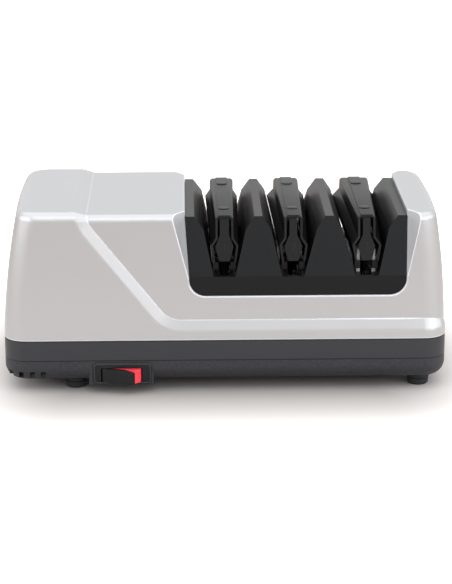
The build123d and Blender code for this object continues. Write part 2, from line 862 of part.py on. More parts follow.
with BuildPart() as spring_rivets:
    for centre in stage_x:
        for side_y in (-1, 1):
            place = (centre, side_y * rivet_y)
            seat = spring_top_z + rib_rise
            add(post_bar(*place, seat - rivet_length, seat, rivet_radius / 2))
            add(post_bar(*place, seat, seat + rivet_head, rivet_radius))
    rims = spring_rivets.faces().sort_by(Axis.Z)[-6:].edges()
    fillet(rims, rivet_head * 0.8)

# ------------------------------------------------------------ drive line
with BuildPart() as drive_shaft:
    add(round_bar(shaft_left, shaft_right, shaft_radius))
    chamfer(drive_shaft.edges().filter_by(GeomType.CIRCLE), 0.5)
    for centre in stage_x:
        for side in (-1, 1):
            x = centre + side * pin_place
            add(
                post_bar(x, 0, drive_z - 4, drive_z + 4, pin_radius + press),
                mode=Mode.SUBTRACT,
            )

with BuildPart() as drive_pins:
    for centre in stage_x:
        for side in (-1, 1):
            x = centre + side * pin_place
            half = pin_length / 2
            add(post_bar(x, 0, drive_z - half, drive_z + half, pin_radius))


def make_disk(index, side):
    """A disk with its hub, turned about the shaft; side is -1 left, 1 right."""
    if index < 2:
        plate = [
            (hub_radius - 1, grit_face - disk_dish - grit_thickness),
            (disk_radius, grit_face - grit_thickness),
            (disk_radius, grit_face),
            (hub_radius - 1, grit_face - disk_dish),
        ]
    else:
        plate = [
            (hub_radius - 1, strop_face - strop_thickness),
            (disk_radius - strop_bevel, strop_face - strop_thickness),
            (disk_radius, strop_face - strop_thickness + strop_bevel),
            (disk_radius, strop_face - strop_bevel),
            (disk_radius - strop_bevel, strop_face),
            (hub_radius - 1, strop_face),
        ]
    hub = [
        (shaft_radius + disk_gap, hub_inner + coil_seat),
        (coil_radius + 1.1, hub_inner + coil_seat),
        (coil_radius + 1.1, hub_inner),
        (hub_radius, hub_inner),
        (hub_radius, hub_outer),
        (shaft_radius + disk_gap, hub_outer),
    ]
    turn_plane = Plane(origin=(stage_x[index], 0, drive_z), x_dir=(0, 0, 1), z_dir=(0, 1, 0))
    with BuildPart() as disk:
        for points in (plate, hub):
            with BuildSketch(turn_plane):
                with BuildLine():
                    Polyline(*[(r, side * s) for r, s in points], close=True)
                make_face()
            revolve(axis=Axis((stage_x[index], 0, drive_z), (1, 0, 0)))
        slot_x = sorted(stage_x[index] + side * s for s in (slot_face, hub_outer + 1))
        half = pin_length / 2 + 0.5
        add(
            block(
                slot_x,
                (-pin_radius - disk_gap, pin_radius + disk_gap),
                (drive_z - half, drive_z + half),
            ),
            mode=Mode.SUBTRACT,
        )
    return disk


disks = {
    f"{index + 1}{letter}": make_disk(index, side)
    for index in range(3)
    for letter, side in (("a", -1), ("b", 1))
}


def make_disk_spring(index):
    """Coil spring on the shaft that pushes the two disks of a stage apart."""
    reach = hub_inner + coil_seat - coil_wire - disk_gap
    start = Vector(stage_x[index] - reach, 0, drive_z)
    with BuildPart() as spring:
        with BuildLine() as path:
            Helix(
                pitch=2 * reach / coil_turns,
                height=2 * reach,
                radius=coil_radius,
                center=start,
                direction=(1, 0, 0),
            )
        with BuildSketch(Plane(origin=path.line @ 0, z_dir=path.line % 0)):
            Circle(coil_wire)
        sweep(is_frenet=True)
    return spring


disk_springs = [make_disk_spring(index) for index in range(3)]

# ------------------------------------------------------------ motor
rotor_half = stack / 2 + 1
with BuildPart() as rotor_core:
    add(round_bar(motor_x - rotor_half, motor_x + rotor_half, rotor_radius))
    ends = rotor_core.edges().filter_by(GeomType.CIRCLE)
    chamfer(ends, 0.8)
    add(
        round_bar(motor_x - rotor_half, motor_x + rotor_half, shaft_radius + press / 2),
        mode=Mode.SUBTRACT,
    )

with BuildPart() as motor_stator:
    with BuildSketch(Plane.YZ.offset(motor_x - stack / 2)):
        with Locations((0, (stack_low + core_high) / 2)):
            RectangleRounded(2 * stack_half, core_high - stack_low, 3)
        with Locations((0, (window_low + core_high + 1) / 2)):
            Rectangle(2 * core_half, core_high + 1 - window_low, mode=Mode.SUBTRACT)
        with Locations((0, drive_z)):
            Circle(rotor_radius + air_gap, mode=Mode.SUBTRACT)
        with Locations((bolt_y, bolt_z), (-bolt_y, bolt_z)):
            Circle(bolt_radius + 0.1, mode=Mode.SUBTRACT)
    extrude(amount=stack)

with BuildPart() as motor_core_bar:
    core = ((motor_x - stack / 2, motor_x + stack / 2), (-core_half, core_half))
    add(block(*core, (core_low, core_high)))

flange_half = core_half - fit


def coil_ring(half_span, inner, outer):
    """Rounded ring round the core bar, centred front to back."""
    with BuildPart() as ring:
        with BuildSketch(Plane.XZ.offset(-half_span)):
            with Locations((motor_x, (core_low + core_high) / 2)):
                height = core_high - core_low
                RectangleRounded(stack + 2 * outer, height + 2 * outer, 2.5)
                Rectangle(stack + 2 * inner, height + 2 * inner, mode=Mode.SUBTRACT)
        extrude(amount=2 * half_span)
    return ring.part


with BuildPart() as motor_bobbin:
    add(coil_ring(flange_half, fit, bobbin_wall + fit + 1.2))
    add(coil_ring(flange_half, fit, bobbin_wall + coil_build + 0.6))
    waist = coil_ring(flange_half - bobbin_wall, fit + bobbin_wall, stack)
    add(waist, mode=Mode.SUBTRACT)

with BuildPart() as motor_coil:
    add(coil_ring(flange_half - bobbin_wall - 0.1, fit + bobbin_wall, bobbin_wall + coil_build))


def make_bracket(plate_x, side):
    """Bearing bracket at one end of the motor; side is the way it faces out."""
    inner_x = plate_x if side > 0 else plate_x + bracket_sheet
    outer_x = plate_x + bracket_sheet if side > 0 else plate_x
    stator_x = motor_x + side * stack / 2
    skirt = sorted((inner_x, stator_x))
    boss = sorted((outer_x, stator_x + side * boss_gap))
    flange = sorted((inner_x, outer_x + side * foot_flange))
    with BuildPart() as bracket:
        with BuildSketch(Plane.YZ.offset(plate_x)):
            with BuildLine():
                Polyline(
                    (-stack_half, pad_top),
                    (stack_half, pad_top),
                    (stack_half, drive_z),
                    (stack_half - crown_inset, window_low - 2),
                    (crown_inset - stack_half, window_low - 2),
                    (-stack_half, drive_z),
                    close=True,
                )
            make_face()
        extrude(amount=bracket_sheet)
        for side_y in (-1, 1):
            arm = sorted((side_y * stack_half, side_y * (stack_half - bracket_arm)))
            add(block(skirt, arm, (stack_low, drive_z)))
        add(round_bar(boss[0], boss[1], bush_radius + 3))
        add(block(flange, (-stack_half, stack_half), (pad_top, pad_top + bracket_sheet)))
        for x, y in bracket_screw_places[:4]:
            add(post_bar(x, y, pad_top - 1, pad_top + 4, screw_radius + fit), mode=Mode.SUBTRACT)
        for y in (-bolt_y, bolt_y):
            with BuildSketch(Plane.YZ.offset(plate_x - 1)):
                with Locations((y, bolt_z)):
                    Circle(bolt_radius + 0.1)
            extrude(amount=bracket_sheet + 2, mode=Mode.SUBTRACT)
        add(
            round_bar(boss[0] - 1, boss[1] + 1, bush_radius + press),
            mode=Mode.SUBTRACT,
        )
    return bracket


motor_bracket_front = make_bracket(bracket_front, 1)
motor_bracket_rear = make_bracket(bracket_rear, -1)

bush_places = {
    "motor_bushing_front": (motor_x + stack / 2 + boss_gap, bracket_front + bracket_sheet),
    "motor_bushing_rear": (bracket_rear, motor_x - stack / 2 - boss_gap),
    "end_bushing": (stand_x - stand_length / 2, stand_x + stand_length / 2),
}
bushes = {}
for bush_name, (start_x, stop_x) in bush_places.items():
    with BuildPart() as bush:
        add(round_bar(start_x, stop_x, bush_radius, shaft_radius + running_gap))
    bushes[bush_name] = bush

with BuildPart() as motor_bolts:
    for y in (-bolt_y, bolt_y):
        with BuildSketch(Plane.YZ.offset(bracket_rear)):
            with Locations((y, bolt_z)):
                Circle(bolt_radius)
        extrude(amount=bracket_front + bracket_sheet - bracket_rear + 4)
        with BuildSketch(Plane.YZ.offset(bracket_rear)):
            with Locations((y, bolt_z)):
                Circle(bolt_head)
        extrude(amount=-2.4)
        with BuildSketch(Plane.YZ.offset(bracket_front + bracket_sheet)):
            with Locations((y, bolt_z)):
                RegularPolygon(bolt_head, 6)
                Circle(bolt_radius, mode=Mode.SUBTRACT)
        extrude(amount=2.6)

with BuildPart() as bearing_stand:
    with BuildSketch(Plane.YZ.offset(stand_x - stand_length / 2)):
        with BuildLine():
            Polyline(
                (-stack_half + 4, pad_top),
                (stack_half - 4, pad_top),
                (stack_half - 4, pad_top + bracket_sheet),
                (bush_radius + stand_waist, pad_top + bracket_sheet),
                (bush_radius + 4, drive_z),
                (-bush_radius - 4, drive_z),
                (-bush_radius - stand_waist, pad_top + bracket_sheet),
                (-stack_half + 4, pad_top + bracket_sheet),
                close=True,
            )
        make_face()
        with Locations((0, drive_z)):
            Circle(bush_radius + 4)
            Circle(bush_radius + press, mode=Mode.SUBTRACT)
    extrude(amount=stand_length)
    for x, y in bracket_screw_places[4:]:
        add(post_bar(x, y, pad_top - 1, pad_top + 4, screw_radius + fit), mode=Mode.SUBTRACT)

with BuildPart() as bracket_screws:
    for x, y in bracket_screw_places:
        add(post_bar(x, y, floor_z + 0.4, pad_top + bracket_sheet, screw_radius))
        seat = pad_top + bracket_sheet
        add(post_bar(x, y, seat, seat + bracket_head[1], bracket_head[0]))

with BuildPart() as cooling_fan:
    add(round_bar(fan_right - fan_plate, fan_right, fan_radius))
    add(round_bar(fan_left, fan_right, fan_hub))
    with BuildSketch(Plane.YZ.offset(fan_left + 1)):
        with Locations((0, drive_z)):
            with PolarLocations((fan_radius + fan_hub) / 2 - 1, blade_count):
                Rectangle(fan_radius - fan_hub, blade_sheet, rotation=blade_turn)
    extrude(amount=fan_length - 2)
    add(round_bar(fan_left - 1, fan_right + 1, shaft_radius + press / 2), mode=Mode.SUBTRACT)

# ------------------------------------------------------------ power switch
with BuildPart() as switch_bezel:
    with BuildSketch(Plane.XZ.offset(half_depth)):
        with Locations((bezel_x, (bezel_low + bezel_high) / 2)):
            RectangleRounded(bezel_length, bezel_high - bezel_low, bezel_radius)
    extrude(amount=bezel_proud)
    rim = switch_bezel.faces().sort_by(Axis.Y)[0].edges()
    fillet(rim, bezel_proud * 0.7)
    add(
        block(
            (rocker_x - switch_half, rocker_x + switch_half),
            (-half_depth, switch_back),
            (switch_low, switch_high),
        )
    )
    add(
        block(
            (rocker_x - well_half, rocker_x + well_half),
            (-half_depth - 2, well_back),
            (well_low, well_high),
        ),
        mode=Mode.SUBTRACT,
    )
    add(
        post_bar(
            rocker_x,
            rocker_y,
            rocker_low - pivot_reach - 0.15,
            rocker_high + pivot_reach + 0.15,
            pivot_radius + 0.06,
        ),
        mode=Mode.SUBTRACT,
    )

with BuildPart() as switch_terminals:
    middle_z = (rocker_low + rocker_high) / 2
    for x in (rocker_x - terminal_pitch, rocker_x, rocker_x + terminal_pitch):
        blade = ((x - terminal_half[0], x + terminal_half[0]), (switch_back, switch_back + terminal_length))
        add(block(*blade, (middle_z - terminal_half[1], middle_z + terminal_half[1])))


def rocker_flank(reach):
    """Right end of the rocker, this far in front of its pivot."""
    return rocker_side + (rocker_face - reach) * (rocker_end - rocker_side) / rocker_face


def rocker_slice(near, far):
    """Part of the rocker between two depths in front of its pivot, tilted at rest."""
    turn = radians(rocker_tilt)
    tilt = Plane(
        origin=(rocker_x, rocker_y, rocker_low), x_dir=(cos(turn), -sin(turn), 0), z_dir=(0, 0, 1)
    )
    with BuildPart() as piece:
        with BuildSketch(tilt):
            Circle(rocker_end)
            with BuildLine():
                Polyline(
                    (-rocker_end, -near),
                    (-rocker_end, -far),
                    (rocker_flank(far), -far),
                    (rocker_flank(near), -near),
                    close=True,
                )
            make_face(mode=Mode.INTERSECT)
        extrude(amount=rocker_high - rocker_low)
    return piece.part


with BuildPart() as rocker_cap:
    add(rocker_slice(rocker_face - cap_thickness, rocker_face))
    # Front view of the cap: its top falls away towards the right end
    turn = radians(rocker_tilt)
    front_plane = Plane(
        origin=(rocker_x, rocker_y, rocker_low),
        x_dir=(cos(turn), -sin(turn), 0),
        z_dir=(-sin(turn), -cos(turn), 0),
    )
    height = rocker_high - rocker_low
    run, drop = cap_drop
    crest_x = rocker_side - run
    with BuildSketch(front_plane):
        with BuildLine():
            Polyline(
                (-rocker_end, 0),
                (rocker_end, 0),
                (rocker_end, height - drop * (rocker_end - crest_x) / run),
                (crest_x, height),
                (-rocker_end, height),
                close=True,
            )
        make_face()
    extrude(amount=rocker_face + 1, mode=Mode.INTERSECT)
    brow = rocker_cap.edges().filter_by(Axis.Z).sort_by(Axis.Y)[:1]
    fillet(brow, 0.5)

with BuildPart() as rocker_core:
    add(rocker_slice(-rocker_back, rocker_face - cap_thickness))
    add(
        post_bar(
            rocker_x, rocker_y, rocker_low - pivot_reach, rocker_high + pivot_reach, pivot_radius
        )
    )

# ------------------------------------------------------------ cord gland
with BuildPart() as cord_gland:
    tip_y = half_depth + gland_reach
    with BuildSketch(Plane.XY.offset(gland_z)):
        with BuildLine():
            Polyline(
                (gland_x + gland_bore, gland_wall - 1.6),
                (gland_x + gland_radius, gland_wall - 1.6),
                (gland_x + gland_lip, gland_wall - fit),
                (gland_x + gland_radius, gland_wall - fit),
                (gland_x + gland_radius, half_depth + fit),
                (gland_x + gland_flange, half_depth + fit),
                (gland_x + gland_flange, half_depth + 2.2),
                (gland_x + gland_radius + 0.4, tip_y),
                (gland_x + gland_bore, tip_y),
                close=True,
            )
        make_face()
    revolve(axis=Axis((gland_x, 0, gland_z), (0, 1, 0)))

# ------------------------------------------------------------ feet and fixings
foot_names = ("foot_front_left", "foot_rear_left", "foot_front_right", "foot_rear_right")
feet = {}
for foot_name, (x, y) in zip(foot_names, foot_places):
    with BuildPart() as foot:
        with BuildSketch(Plane.XZ.offset(-y)):
            with BuildLine():
                Polyline(
                    (x + screw_radius + fit, base_bottom),
                    (x + foot_radius, base_bottom),
                    (x + foot_radius, base_bottom - foot_groove + 0.4),
                    (x + foot_radius - 0.7, base_bottom - foot_groove),
                    (x + foot_radius - 0.2, base_bottom - foot_groove - 0.4),
                    (x + foot_radius - 0.3, 0.8),
                    (x + foot_radius - 1.0, 0),
                    (x + head_radius + 0.4, 0),
                    (x + head_radius + 0.4, foot_seat),
                    (x + screw_radius + fit, foot_seat),
                    close=True,
                )
            make_face()
        revolve(axis=Axis((x, y, 0), (0, 0, 1)))
    feet[foot_name] = foot

with BuildPart() as foot_screws:
    for x, y in foot_places:
        add(post_bar(x, y, foot_seat, pad_top - 0.5, screw_radius))
        add(post_bar(x, y, foot_seat - head_height, foot_seat, head_radius))

with BuildPart() as case_screws:
    for x, y in case_screw_places:
        seat = floor_z + head_height
        add(post_bar(x, y, seat, boss_top(x) - 2 * wall, screw_radius))
        add(post_bar(x, y, seat - head_height, seat, head_radius))

# ------------------------------------------------------------ clean-out cover
with BuildPart() as cleanout_cover:
    door = ((door_left + fit, door_right - fit), (-door_half + fit, door_half - fit))
    lip = (
        (door_left - wall + fit, door_right + wall - fit),
        (-door_half - wall + fit, door_half + wall - fit),
    )
    add(block(*lip, (base_bottom, base_bottom + door_sheet / 2)))
    add(block(*door, (base_bottom, floor_z)))
    add(
        block(
            (door_left + wall, door_right - wall),
            (-door_half + wall, door_half - wall),
            (base_bottom + door_sheet, floor_z + 1),
        ),
        mode=Mode.SUBTRACT,
    )

with BuildPart() as dust_magnet:
    magnet_low = base_bottom + door_sheet
    with Locations((stage_x[1], 0, magnet_low + magnet_size[2] / 2)):
        Box(*magnet_size)

# ------------------------------------------------------------ stropping dresser
fork_z = (fork_low, fork_high)
with BuildPart() as dresser_lever:
    add(post_bar(dresser_x, dresser_y, tab_low, fork_high, boss_radius))
    tab_y = (dresser_y, half_depth + tab_reach)
    add(block((dresser_x - tab_half, dresser_x + tab_half), tab_y, (tab_low, tab_high)))
    add(block((dresser_x - fork_half, dresser_x + fork_half), (bar_near, bar_far), fork_z))
    add(block((dresser_x - dresser_pin, dresser_x + dresser_pin), (bar_far - 1, dresser_y), fork_z))
    for side in (-1, 1):
        width = sorted((dresser_x + side * fork_half, dresser_x + side * (fork_half - tine)))
        add(block(width, (fork_near, bar_far), fork_z))
    add(
        post_bar(dresser_x, dresser_y, tab_low - 1, fork_high + 1, dresser_pin + 0.05),
        mode=Mode.SUBTRACT,
    )
    fillet(dresser_lever.edges().filter_by(Axis.Z).group_by(Axis.Y)[-1], tab_radius)

with BuildPart() as dresser_pads:
    for side in (-1, 1):
        inner = dresser_x + side * pad_inner
        width = sorted((inner, inner + side * pad_thickness))
        add(block(width, (fork_near, fork_near + pad_length), (fork_low + 1, fork_high - 1)))

with BuildPart() as dresser_pivot:
    add(post_bar(dresser_x, dresser_y, floor_z - 1, fork_high + 1.5, dresser_pin))

# ------------------------------------------------------------ files
pieces = {
    "top_housing": top_housing,
    "trim_band": trim_band,
    "base_pan": base_pan,
    "guide_tray": guide_tray,
    "tooth_left": tooth_left,
    "tooth_middle_a": tooth_middle_a,
    "tooth_middle_b": tooth_middle_b,
    "tooth_right": tooth_right,
    "tooth_screws": tooth_screws,
    "spring_rivets": spring_rivets,
    "drive_shaft": drive_shaft,
    "drive_pins": drive_pins,
    "rotor_core": rotor_core,
    "motor_stator": motor_stator,
    "motor_core_bar": motor_core_bar,
    "motor_bobbin": motor_bobbin,
    "motor_coil": motor_coil,
    "motor_bracket_front": motor_bracket_front,
    "motor_bracket_rear": motor_bracket_rear,
    "motor_bolts": motor_bolts,
    "bearing_stand": bearing_stand,
    "bracket_screws": bracket_screws,
    "cooling_fan": cooling_fan,
    "switch_bezel": switch_bezel,
    "switch_terminals": switch_terminals,
    "rocker_cap": rocker_cap,
    "rocker_core": rocker_core,
    "cord_gland": cord_gland,
    "foot_screws": foot_screws,
    "case_screws": case_screws,
    "cleanout_cover": cleanout_cover,
    "dust_magnet": dust_magnet,
    "dresser_lever": dresser_lever,
    "dresser_pads": dresser_pads,
    "dresser_pivot": dresser_pivot,
    **bushes,
    **feet,
    **{f"guide_post_{index + 1}": post for index, post in enumerate(guide_posts)},
    **{f"guide_spring_{index + 1}": spring for index, spring in enumerate(guide_springs)},
    **{f"disk_spring_{index + 1}": spring for index, spring in enumerate(disk_springs)},
    **{f"disk_{key}": disk for key, disk in disks.items()},
}
for piece_name, piece in pieces.items():
    save(piece, piece_name)
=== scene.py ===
# %% [markdown]
# A countertop knife sharpener: a silver painted housing over a charcoal band and a
# black base, three pairs of sharpening slots between black guides, and a rocker switch.
# The solid parts come from the imported model, which is the fixed frame of the scene.
# What is added here is the finish of each part and the fine pieces that a mould or a
# press leaves on it.

import math

import bmesh
import bpy
from mathutils import Matrix, Vector


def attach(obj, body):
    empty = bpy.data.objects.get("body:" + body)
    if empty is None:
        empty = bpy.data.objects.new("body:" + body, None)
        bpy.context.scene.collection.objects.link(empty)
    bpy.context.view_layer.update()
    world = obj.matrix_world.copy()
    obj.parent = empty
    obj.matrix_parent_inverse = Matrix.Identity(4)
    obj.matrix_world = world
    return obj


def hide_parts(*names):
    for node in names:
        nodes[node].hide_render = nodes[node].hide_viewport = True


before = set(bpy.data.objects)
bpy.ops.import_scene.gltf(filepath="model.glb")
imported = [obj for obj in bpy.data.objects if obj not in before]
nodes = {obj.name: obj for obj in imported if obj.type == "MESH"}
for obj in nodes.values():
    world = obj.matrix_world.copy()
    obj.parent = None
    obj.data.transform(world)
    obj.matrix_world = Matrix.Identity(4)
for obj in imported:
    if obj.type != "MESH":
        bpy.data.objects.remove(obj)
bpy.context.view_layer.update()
MM = 0.001

# %% [markdown]
# The camera stands a little over a metre in front of the sharpener and looks down at
# it by seventeen degrees. Its place and turn were solved from the corners of the body,
# so they are written as numbers and not aimed by eye.

# %% Camera
EYE = Vector((-23.066, -1106.889, 380.395)) * MM
YAW, PITCH, ROLL = (math.radians(a) for a in (1.2621, 16.9927, -0.0922))
FOCAL_PX = 2010.7
IMAGE_HEIGHT_PX = 584
SENSOR_MM = 36.0

ahead = Vector((math.sin(YAW) * math.cos(PITCH), math.cos(YAW) * math.cos(PITCH),
                -math.sin(PITCH)))
level = Vector((math.cos(YAW), -math.sin(YAW), 0))
over = level.cross(ahead)
right = math.cos(ROLL) * level + math.sin(ROLL) * over
up = -math.sin(ROLL) * level + math.cos(ROLL) * over

scene = bpy.context.scene
camera_data = bpy.data.cameras.new("camera")
camera_data.sensor_width = SENSOR_MM
camera_data.sensor_fit = "AUTO"
camera_data.lens = FOCAL_PX / IMAGE_HEIGHT_PX * SENSOR_MM
camera_data.clip_start, camera_data.clip_end = 0.05, 20
camera = bpy.data.objects.new("camera", camera_data)
turn = Matrix((right, up, -ahead)).transposed().to_4x4()
camera.matrix_world = Matrix.Translation(EYE) @ turn
scene.collection.objects.link(camera)
scene.camera = camera
print("lens", round(camera_data.lens, 2), "mm")


# %% [markdown]
# The surround and every material are small networks of nodes. A helper adds a node and
# gives each of its inputs either a plain value or the output of another node, so that a
# network reads from top to bottom. A second one begins a group that materials share.

# %% Helpers for node networks
def set_inputs(net, node, inputs):
    """Gives a node's inputs, by name or number, a value or another node's output."""
    for key, value in inputs.items():
        if isinstance(value, bpy.types.NodeSocket):
            net.links.new(value, node.inputs[key])
        else:
            node.inputs[key].default_value = value


def add_node(net, kind, inputs=None, **properties):
    """Adds a node of a kind, sets its properties and gives it its inputs."""
    node = net.nodes.new(kind)
    for key, value in properties.items():
        setattr(node, key, value)
    set_inputs(net, node, inputs or {})
    return node


def new_group(name, inputs, outputs):
    """An empty node group with sockets: (name, kind, value) in, (name, kind) out."""
    group = bpy.data.node_groups.new(name, "ShaderNodeTree")
    for label, kind, value in inputs:
        socket = group.interface.new_socket(label, in_out="INPUT", socket_type=kind)
        socket.default_value = value
    for label, kind in outputs:
        group.interface.new_socket(label, in_out="OUTPUT", socket_type=kind)
    return group, group.nodes.new("NodeGroupInput"), group.nodes.new("NodeGroupOutput")


# %% [markdown]
# The studio is a plain one. The surround is white to the camera and in reflections, and
# adds only a weak warm light of its own. One wide cool lamp hangs overhead, so that tops
# and rounded edges are brighter and bluer than the front, which is lit by what the pale
# floor sends back. Smaller lamps, one at the left and two at the right, shape the ends
# and the bevels, and one high in front reaches into the slots.

# %% Studio surround
WHITE = (1, 1, 1, 1)
scene.view_settings.view_transform = "Standard"
world = bpy.data.worlds.new("surround")
scene.world = world
world.use_nodes = True
net = world.node_tree
net.nodes.clear()
plain = add_node(net, "ShaderNodeBackground",
                 {"Color": (1.0, 0.965, 0.94, 1), "Strength": 0.10})
bright = add_node(net, "ShaderNodeBackground", {"Color": WHITE, "Strength": 1.0})
path = add_node(net, "ShaderNodeLightPath")
mirrored = add_node(net, "ShaderNodeMath", {
    0: path.outputs["Is Glossy Ray"],
    1: path.outputs["Is Transmission Ray"],
}, operation="MAXIMUM")
seen_white = add_node(net, "ShaderNodeMath", {
    0: path.outputs["Is Camera Ray"],
    1: mirrored.outputs[0],
}, operation="MAXIMUM")
choose = add_node(net, "ShaderNodeMixShader", {
    "Fac": seen_white.outputs[0],
    1: plain.outputs["Background"],
    2: bright.outputs["Background"],
})
add_node(net, "ShaderNodeOutputWorld", {"Surface": choose.outputs["Shader"]})
print("surround is white to the camera and in reflections")

# %% Lamps
COOL = (0.89, 0.95, 1.0)
HEART = (0, 0, 0.05)  # the middle of the body, which the lower lamps face
LAMPS = {  # place and target in metres, size in metres, power in watts
    "lamp_over": ((0.0, 0.0, 1.3), (0, 0, 0), (3.2, 2.4), 33.0),
    "lamp_front": ((0.0, -1.7, 1.4), HEART, (2.2, 1.4), 15.0),
    "lamp_left": ((-1.75, -0.6, 0.55), HEART, (2.2, 1.3), 22.0),
    "lamp_right": ((1.35, -1.45, 0.42), HEART, (1.8, 0.9), 11.0),
    "lamp_end": ((1.8, -0.45, 0.55), HEART, (2.2, 1.3), 16.0),
}


def soft_lamp(name, place, target, size, watts):
    """A cool rectangular lamp at a place, turned towards a target."""
    data = bpy.data.lights.new(name, "AREA")
    data.shape = "RECTANGLE"
    data.size, data.size_y = size
    data.energy = watts
    data.color = COOL
    lamp = bpy.data.objects.new(name, data)
    lamp.location = place
    lamp.rotation_mode = "QUATERNION"
    lamp.rotation_quaternion = (Vector(target) - Vector(place)).to_track_quat("-Z", "Y")
    scene.collection.objects.link(lamp)


for name, values in LAMPS.items():
    soft_lamp(name, *values)
print("lamps:", len(LAMPS))

# %% [markdown]
# Every real surface is a little uneven: dust sits in it, handling polishes it, and a
# mould leaves a fine grain. The first group varies a colour and a roughness slowly over
# the surface. The second turns fine noise into a height, for the grain. The third
# scales a colour along a thin level line where two casings meet: on the dark casings it
# paints shade into the gap, and on the silver one it paints a highlight along the rim.

# %% Groups that the materials share
FLOAT, COLOR = "NodeSocketFloat", "NodeSocketColor"
GREY = (0.5, 0.5, 0.5, 1)


def make_uneven_group():
    """Colour and roughness that drift slowly over a surface."""
    group, entry, exit_ = new_group(
        "uneven",
        [
            ("Color", COLOR, GREY),
            ("Roughness", FLOAT, 0.5),
            ("Scale", FLOAT, 30.0),
            ("Shade", FLOAT, 0.05),
            ("Polish", FLOAT, 0.05),
        ],
        [("Color", COLOR), ("Roughness", FLOAT)],
    )
    coords = add_node(group, "ShaderNodeTexCoord")
    slow = add_node(group, "ShaderNodeTexNoise", {
        "Vector": coords.outputs["Object"],
        "Scale": entry.outputs["Scale"],
        "Detail": 5.0,
        "Roughness": 0.6,
    })
    centred = add_node(group, "ShaderNodeMath", {0: slow.outputs["Fac"], 1: 0.5},
                       operation="SUBTRACT")
    shade = add_node(group, "ShaderNodeMath", {
        0: centred.outputs[0],
        1: entry.outputs["Shade"],
        2: 1.0,
    }, operation="MULTIPLY_ADD")
    tint = add_node(group, "ShaderNodeVectorMath", {
        0: entry.outputs["Color"],
        "Scale": shade.outputs[0],
    }, operation="SCALE")
    polish = add_node(group, "ShaderNodeMath", {
        0: centred.outputs[0],
        1: entry.outputs["Polish"],
        2: entry.outputs["Roughness"],
    }, operation="MULTIPLY_ADD")
    set_inputs(group, exit_, {"Color": tint.outputs[0], "Roughness": polish.outputs[0]})
    return group


def make_grain_group():
    """Height of a moulded or blasted grain: fine noise with coarser pits in it."""
    group, entry, exit_ = new_group(
        "grain",
        [("Size", FLOAT, 1800.0), ("Pits", FLOAT, 0.5)],
        [("Height", FLOAT)],
    )
    coords = add_node(group, "ShaderNodeTexCoord")
    fine = add_node(group, "ShaderNodeTexNoise", {
        "Vector": coords.outputs["Object"],
        "Scale": entry.outputs["Size"],
        "Detail": 3.0,
        "Roughness": 0.65,
    })
    coarser = add_node(group, "ShaderNodeMath", {0: entry.outputs["Size"], 1: 0.55},
                       operation="MULTIPLY")
    pits = add_node(group, "ShaderNodeTexVoronoi", {
        "Vector": coords.outputs["Object"],
        "Scale": coarser.outputs[0],
    }, feature="F1")
    both = add_node(group, "ShaderNodeMath", {
        0: pits.outputs["Distance"],
        1: entry.outputs["Pits"],
        2: fine.outputs["Fac"],
    }, operation="MULTIPLY_ADD")
    set_inputs(group, exit_, {"Height": both.outputs[0]})
    return group


def make_seam_group():
    """Scales a colour in a thin level line: painted shade in a casing gap, or a painted
    highlight.
    """
    group, entry, exit_ = new_group(
        "painted_seam_line",
        [
            ("Color", COLOR, GREY),
            ("Level", FLOAT, 0.0),
            ("Half", FLOAT, 0.0003),
            ("Factor", FLOAT, 0.2),
        ],
        [("Color", COLOR)],
    )
    coords = add_node(group, "ShaderNodeTexCoord")
    axes = add_node(group, "ShaderNodeSeparateXYZ", {0: coords.outputs["Object"]})
    off = add_node(group, "ShaderNodeMath", {
        0: axes.outputs["Z"],
        1: entry.outputs["Level"],
    }, operation="SUBTRACT")
    away = add_node(group, "ShaderNodeMath", {0: off.outputs[0]}, operation="ABSOLUTE")
    inside = add_node(group, "ShaderNodeMath", {
        0: away.outputs[0],
        1: entry.outputs["Half"],
    }, operation="LESS_THAN")
    # A factor below one paints shade into the line, and a factor above one paints a
    # highlight.
    scale = add_node(group, "ShaderNodeMapRange", {
        "Value": inside.outputs[0],
        "To Min": 1.0,
        "To Max": entry.outputs["Factor"],
    })
    tint = add_node(group, "ShaderNodeVectorMath", {
        0: entry.outputs["Color"],
        "Scale": scale.outputs["Result"],
    }, operation="SCALE")
    set_inputs(group, exit_, {"Color": tint.outputs[0]})
    return group


uneven_group = make_uneven_group()
grain_group = make_grain_group()
painted_seam_group = make_seam_group()
print("groups:", [g.name for g in bpy.data.node_groups])

# %% [markdown]
# One function builds every moulded, painted or metal finish from these groups. It
# puts plain numbers straight on the shader and links only what changes over the
# surface, so that the finish survives when the model leaves Blender. Edges can be
# rounded by a bevelled normal, and a highlight can be painted into a colour where that
# normal turns away from the true one, which is along the edges.

# %% The finish builder
BASE_TOP, BAND_TOP, DECK = 19.3, 30.9, 66.3  # heights in mm where two casings meet
MIX_COLOR_A, MIX_COLOR_B, MIX_COLOR_OUT = 6, 7, 2  # colour sockets of a mix node


def lighten_edges(net, tone, soft_normal, edge_highlight_color):
    """Paints a highlight colour in along edges, where the soft normal leaves the true
    one.
    """
    facing = add_node(net, "ShaderNodeNewGeometry")
    turned = add_node(net, "ShaderNodeVectorMath", {
        0: soft_normal,
        1: facing.outputs["Normal"],
    }, operation="DOT_PRODUCT")
    on_edge = add_node(net, "ShaderNodeMapRange", {
        "Value": turned.outputs["Value"],
        "From Min": 0.999,
        "From Max": 0.97,
    })
    highlighted = add_node(net, "ShaderNodeMix", {
        "Factor": on_edge.outputs["Result"],
        MIX_COLOR_A: tone,
        MIX_COLOR_B: (*edge_highlight_color, 1),
    }, data_type="RGBA")
    return highlighted.outputs[MIX_COLOR_OUT]


